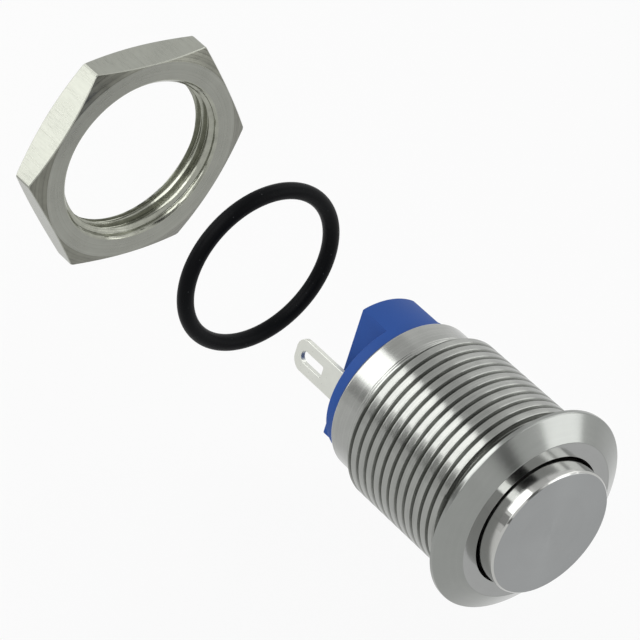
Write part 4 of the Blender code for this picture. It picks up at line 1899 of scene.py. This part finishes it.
@dataclass
class Internals:
    """What is inside: the springs, and the nodes whose shape is already right.

    Attributes:
        travel: How far the cap is pushed in.
        overtravel: How far the contact bridge gives way.
    """

    travel: float = 1.20
    overtravel: float = 0.30

    def springs(self) -> list[CoilSpring]:
        """The return spring and the contact spring.

        Returns:
            Both springs.
        """
        low, high = cad_span("return_spring")
        back = CoilSpring(
            "return_coil", "return_spring", wire=0.4, radius=2.3, turns=5, body=Body.SWITCH,
            joint="press", fixed_end=high.y, keep=1 - self.travel / (high.y - low.y),
        )
        low, high = cad_span("contact_spring")
        contact = CoilSpring(
            "contact_coil", "contact_spring", wire=0.2, radius=0.9, turns=5, body=Body.BUTTON,
            joint="contact_overtravel", fixed_end=low.y,
            keep=1 - self.overtravel / (high.y - low.y),
        )
        return [back, contact]

    def build(self) -> None:
        """Winds the springs and dresses the nodes that stay."""
        for spring in self.springs():
            spring.build()
        skins = {
            "guide_bush": Finishes.brass,
            "shaft_seal": Finishes.seal,
            "seal_washer": Finishes.washer,
            "base_gasket": Finishes.rubber,
            "stem_clip": Finishes.clip,
            "bridge_clip": Finishes.clip,
            "contact_carrier": Finishes.white,
            "contact_bridge": Finishes.brass,
        }
        for side in ("left", "right"):
            skins["moving_contact_" + side] = Finishes.contact
            skins["fixed_contact_" + side] = Finishes.contact
        for name, finish in skins.items():
            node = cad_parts[name]
            node.data.materials.clear()
            node.data.materials.append(material_of(finish))
            LOG.info("%s: dressed as %s", name, finish.name)


# Studio

CARD_THICKNESS = 1.0


class PanelKind(Enum):
    """What a studio panel does."""

    SOFTBOX = "lights and shows in metal"
    REFLECTOR = "shows in metal only"
    FLAG = "dark, shows in metal only"


@dataclass(frozen=True)
class Panel:
    """A rectangular softbox, reflector or dark flag that looks at one point.

    Attributes:
        name: The panel's name.
        kind: What it does.
        bearing: Degrees from +Y towards +X, seen from the point that it looks at.
        height: Degrees over the horizon.
        wide: Width in degrees.
        tall: Height in degrees.
        brightness: 1 is as bright as the white surroundings, which a lamp's light adds to.
        roll: Degrees that its right end dips, seen from the point.
        distance: Distance from the point in millimetres.
        target: The point in millimetres.
    """

    name: str
    kind: PanelKind
    bearing: float
    height: float
    wide: float
    tall: float
    brightness: float
    roll: float = 0.0
    distance: float = 500.0
    target: tuple[float, float, float] = (0.0, 6.0, 0.0)

    def frame(self) -> Matrix:
        """The panel's place, with its local -Z towards its point.

        Returns:
            The place as a matrix in metres.
        """
        bearing, height = math.radians(self.bearing), math.radians(self.height)
        level = math.cos(height)
        away = Vector((math.sin(bearing) * level, math.cos(bearing) * level, math.sin(height)))
        place = Vector(self.target) * MM + away * self.distance * MM
        facing = (-away).to_track_quat("-Z", "Y").to_matrix().to_4x4()
        return Matrix.Translation(place) @ facing @ Matrix.Rotation(math.radians(self.roll), 4, "Z")

    def size(self) -> tuple[float, float]:
        """Width and height in metres."""
        wide, tall = (math.tan(math.radians(side / 2)) for side in (self.wide, self.tall))
        return 2 * self.distance * MM * wide, 2 * self.distance * MM * tall

    def build(self) -> None:
        """Makes the lamp or the flag."""
        if self.kind is PanelKind.FLAG:
            self.build_flag()
            return
        wide, tall = self.size()
        lamp = bpy.data.lights.new(self.name, "AREA")
        lamp.shape = "RECTANGLE"
        lamp.size, lamp.size_y = wide, tall
        lamp.energy = self.brightness * math.pi * wide * tall
        obj = bpy.data.objects.new(self.name, lamp)
        obj.matrix_world = self.frame()
        obj.visible_camera = False
        obj.visible_diffuse = self.kind is PanelKind.SOFTBOX
        bpy.context.scene.collection.objects.link(obj)

    def build_flag(self) -> None:
        """Makes a dark card that only reflections show."""
        outline = rectangle(*(side / MM / 2 for side in self.size()))
        card = prism(self.name, outline, (0.0, CARD_THICKNESS), "xyz")
        card.matrix_world = self.frame()
        graph = MaterialGraph(self.name)
        level = self.brightness
        glow = graph.node("ShaderNodeEmission", None, {"Color": (level, level, level, 1.0)})
        card.data.materials.append(graph.surface(glow.outputs["Emission"]))
        card.visible_camera = False
        card.visible_diffuse = False
        card.visible_transmission = False
        card.visible_shadow = False


@dataclass
class Studio:
    """The plain studio: a pale floor, white surroundings, softboxes, and the camera.

    Attributes:
        floor_level: Height of the floor.
        floor_half: Half the floor's width.
        floor_thickness: Thickness of the floor.
        floor_colour: Colour of the floor.
        floor_glow: Share of plain white in what shows of the floor.
        fill: Brightness of the surroundings for diffuse light.
        lens: The camera's focal length.
        sensor: Width of the camera's sensor.
        seen_from: Nearest distance that the camera shows, in metres.
        seen_to: Farthest distance that the camera shows, in metres.
        camera_place: Where the camera is.
        camera_right: Direction to the picture's right.
        camera_up: Direction to the picture's top.
        camera_ahead: Direction that the camera looks in.
    """

    floor_level: float = -24.0
    floor_half: float = 3000.0
    floor_thickness: float = 10.0
    floor_colour: Colour = (0.90, 0.90, 0.90)
    floor_glow: float = 0.75
    fill: float = 0.80
    lens: float = 196.875
    sensor: float = 36.0
    seen_from: float = 0.01
    seen_to: float = 20.0
    camera_place: tuple[float, float, float] = (-139.00, -109.75, 107.54)
    camera_right: tuple[float, float, float] = (0.75977, -0.59403, 0.26432)
    camera_up: tuple[float, float, float] = (0.13463, 0.54146, 0.82988)
    camera_ahead: tuple[float, float, float] = (0.6361, 0.59493, -0.49136)

    def panels(self) -> list[Panel]:
        """The softboxes, reflectors and flags.

        Returns:
            The panels in order.
        """
        softbox, reflector, flag = PanelKind.SOFTBOX, PanelKind.REFLECTOR, PanelKind.FLAG
        return [
            Panel("rear_left_softbox", softbox, -43, 33, 30, 37, 2.55, 15.0),
            Panel("front_right_softbox", softbox, 135, 16, 28, 24, 1.7),
            Panel("low_left_flag", flag, -56, 0, 84, 22, 0.40, 15.0),
            Panel("low_left_near_flag", flag, -56, -7, 50, 10, 0.85, 0.0, 60.0),
            Panel("left_edge_card", reflector, 262, 36, 24, 48, 3.0),
            Panel("right_edge_card", reflector, 80, 52, 30, 46, 1.4),
            Panel("top_rear_flag", flag, -8, 56, 24, 26, 0.75),
            Panel("front_flag", flag, 176, 13, 8, 24, 0.15),
            Panel("top_front_flag", flag, 206, 56, 24, 24, 0.03),
            Panel("left_edge_flag", flag, 216, -12, 12, 34, 0.12),
            Panel("front_edge_flag", flag, 190, 32, 22, 11, 0.12),
            Panel("top_right_card", reflector, 140, 39, 44, 9, 2.4),
            Panel("camera_side_card", reflector, 231, 34.6, 13, 14, 4.0),
            Panel("nut_side_card", reflector, -53.5, 5, 30, 26, 2.4, 0.0, 50.0, (-7.0, 41.0, 3.0)),
        ]

    def ray_share(self, graph: Graph) -> Signal:
        """Which rays show the background: the camera's, and those in metal or through glass.

        Args:
            graph: The graph that asks.

        Returns:
            1 for those rays and 0 for the rest.
        """
        path = graph.node("ShaderNodeLightPath")
        camera, glossy, through = (
            Signal(graph, path.outputs[name])
            for name in ("Is Camera Ray", "Is Glossy Ray", "Is Transmission Ray")
        )
        return camera.larger(glossy).larger(through)

    def build_world(self) -> None:
        """White surroundings, at the fill level for diffuse light."""
        world = bpy.data.worlds.new("studio")
        world.use_nodes = True
        bpy.context.scene.world = world
        graph = Graph(world.node_tree)
        strength = self.fill + self.ray_share(graph) * (1.0 - self.fill)
        sky = graph.node("ShaderNodeBackground", None, {"Color": WHITE, "Strength": strength})
        output = graph.node("ShaderNodeOutputWorld")
        graph.feed(output.inputs["Surface"], sky.outputs["Background"])

    def build_floor(self) -> None:
        """A pale floor that keeps the shadow and shows white."""
        depth = (self.floor_level - self.floor_thickness, self.floor_level)
        outline = rectangle(self.floor_half, self.floor_half)
        floor = prism("studio_floor", outline, depth, "xyz")
        graph = MaterialGraph("studio_floor")
        paint = graph.node("ShaderNodeBsdfDiffuse", None, {"Color": (*self.floor_colour, 1.0)})
        glow = graph.node("ShaderNodeEmission", None, {"Color": WHITE})
        share = self.ray_share(graph) * self.floor_glow
        ends = {0: share, 1: paint.outputs["BSDF"], 2: glow.outputs["Emission"]}
        both = graph.node("ShaderNodeMixShader", None, ends)
        floor.data.materials.append(graph.surface(both.outputs["Shader"]))

    def build_camera(self) -> None:
        """The camera at the photograph's viewing angle."""
        data = bpy.data.cameras.new("camera")
        data.lens = self.lens
        data.sensor_width = self.sensor
        data.clip_start, data.clip_end = self.seen_from, self.seen_to
        back = [-part for part in self.camera_ahead]
        turn = Matrix((self.camera_right, self.camera_up, back)).transposed().to_4x4()
        camera = bpy.data.objects.new("camera", data)
        camera.matrix_world = Matrix.Translation(Vector(self.camera_place) * MM) @ turn
        bpy.context.scene.collection.objects.link(camera)
        bpy.context.scene.camera = camera

    def build(self) -> None:
        """Sets up everything round the object."""
        bpy.context.scene.view_settings.view_transform = "Standard"
        self.build_world()
        self.build_floor()
        self.build_camera()
        panels = self.panels()
        for panel in panels:
            panel.build()
        LOG.info("studio: %d panels", len(panels))


def main() -> None:
    """Builds the object and its studio."""
    logging.basicConfig(level=logging.INFO, format="%(message)s")
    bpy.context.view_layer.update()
    assemblies = [
        Studio(),
        Housing(),
        ButtonCap(),
        RearBase(),
        Terminal(-1, "left_lug", "terminal_left"),
        Terminal(1, "right_lug", "terminal_right"),
        SealingRing(),
        LockNut(),
        Internals(),
    ]
    for assembly in assemblies:
        assembly.build()


if __name__ == "__main__":
    main()
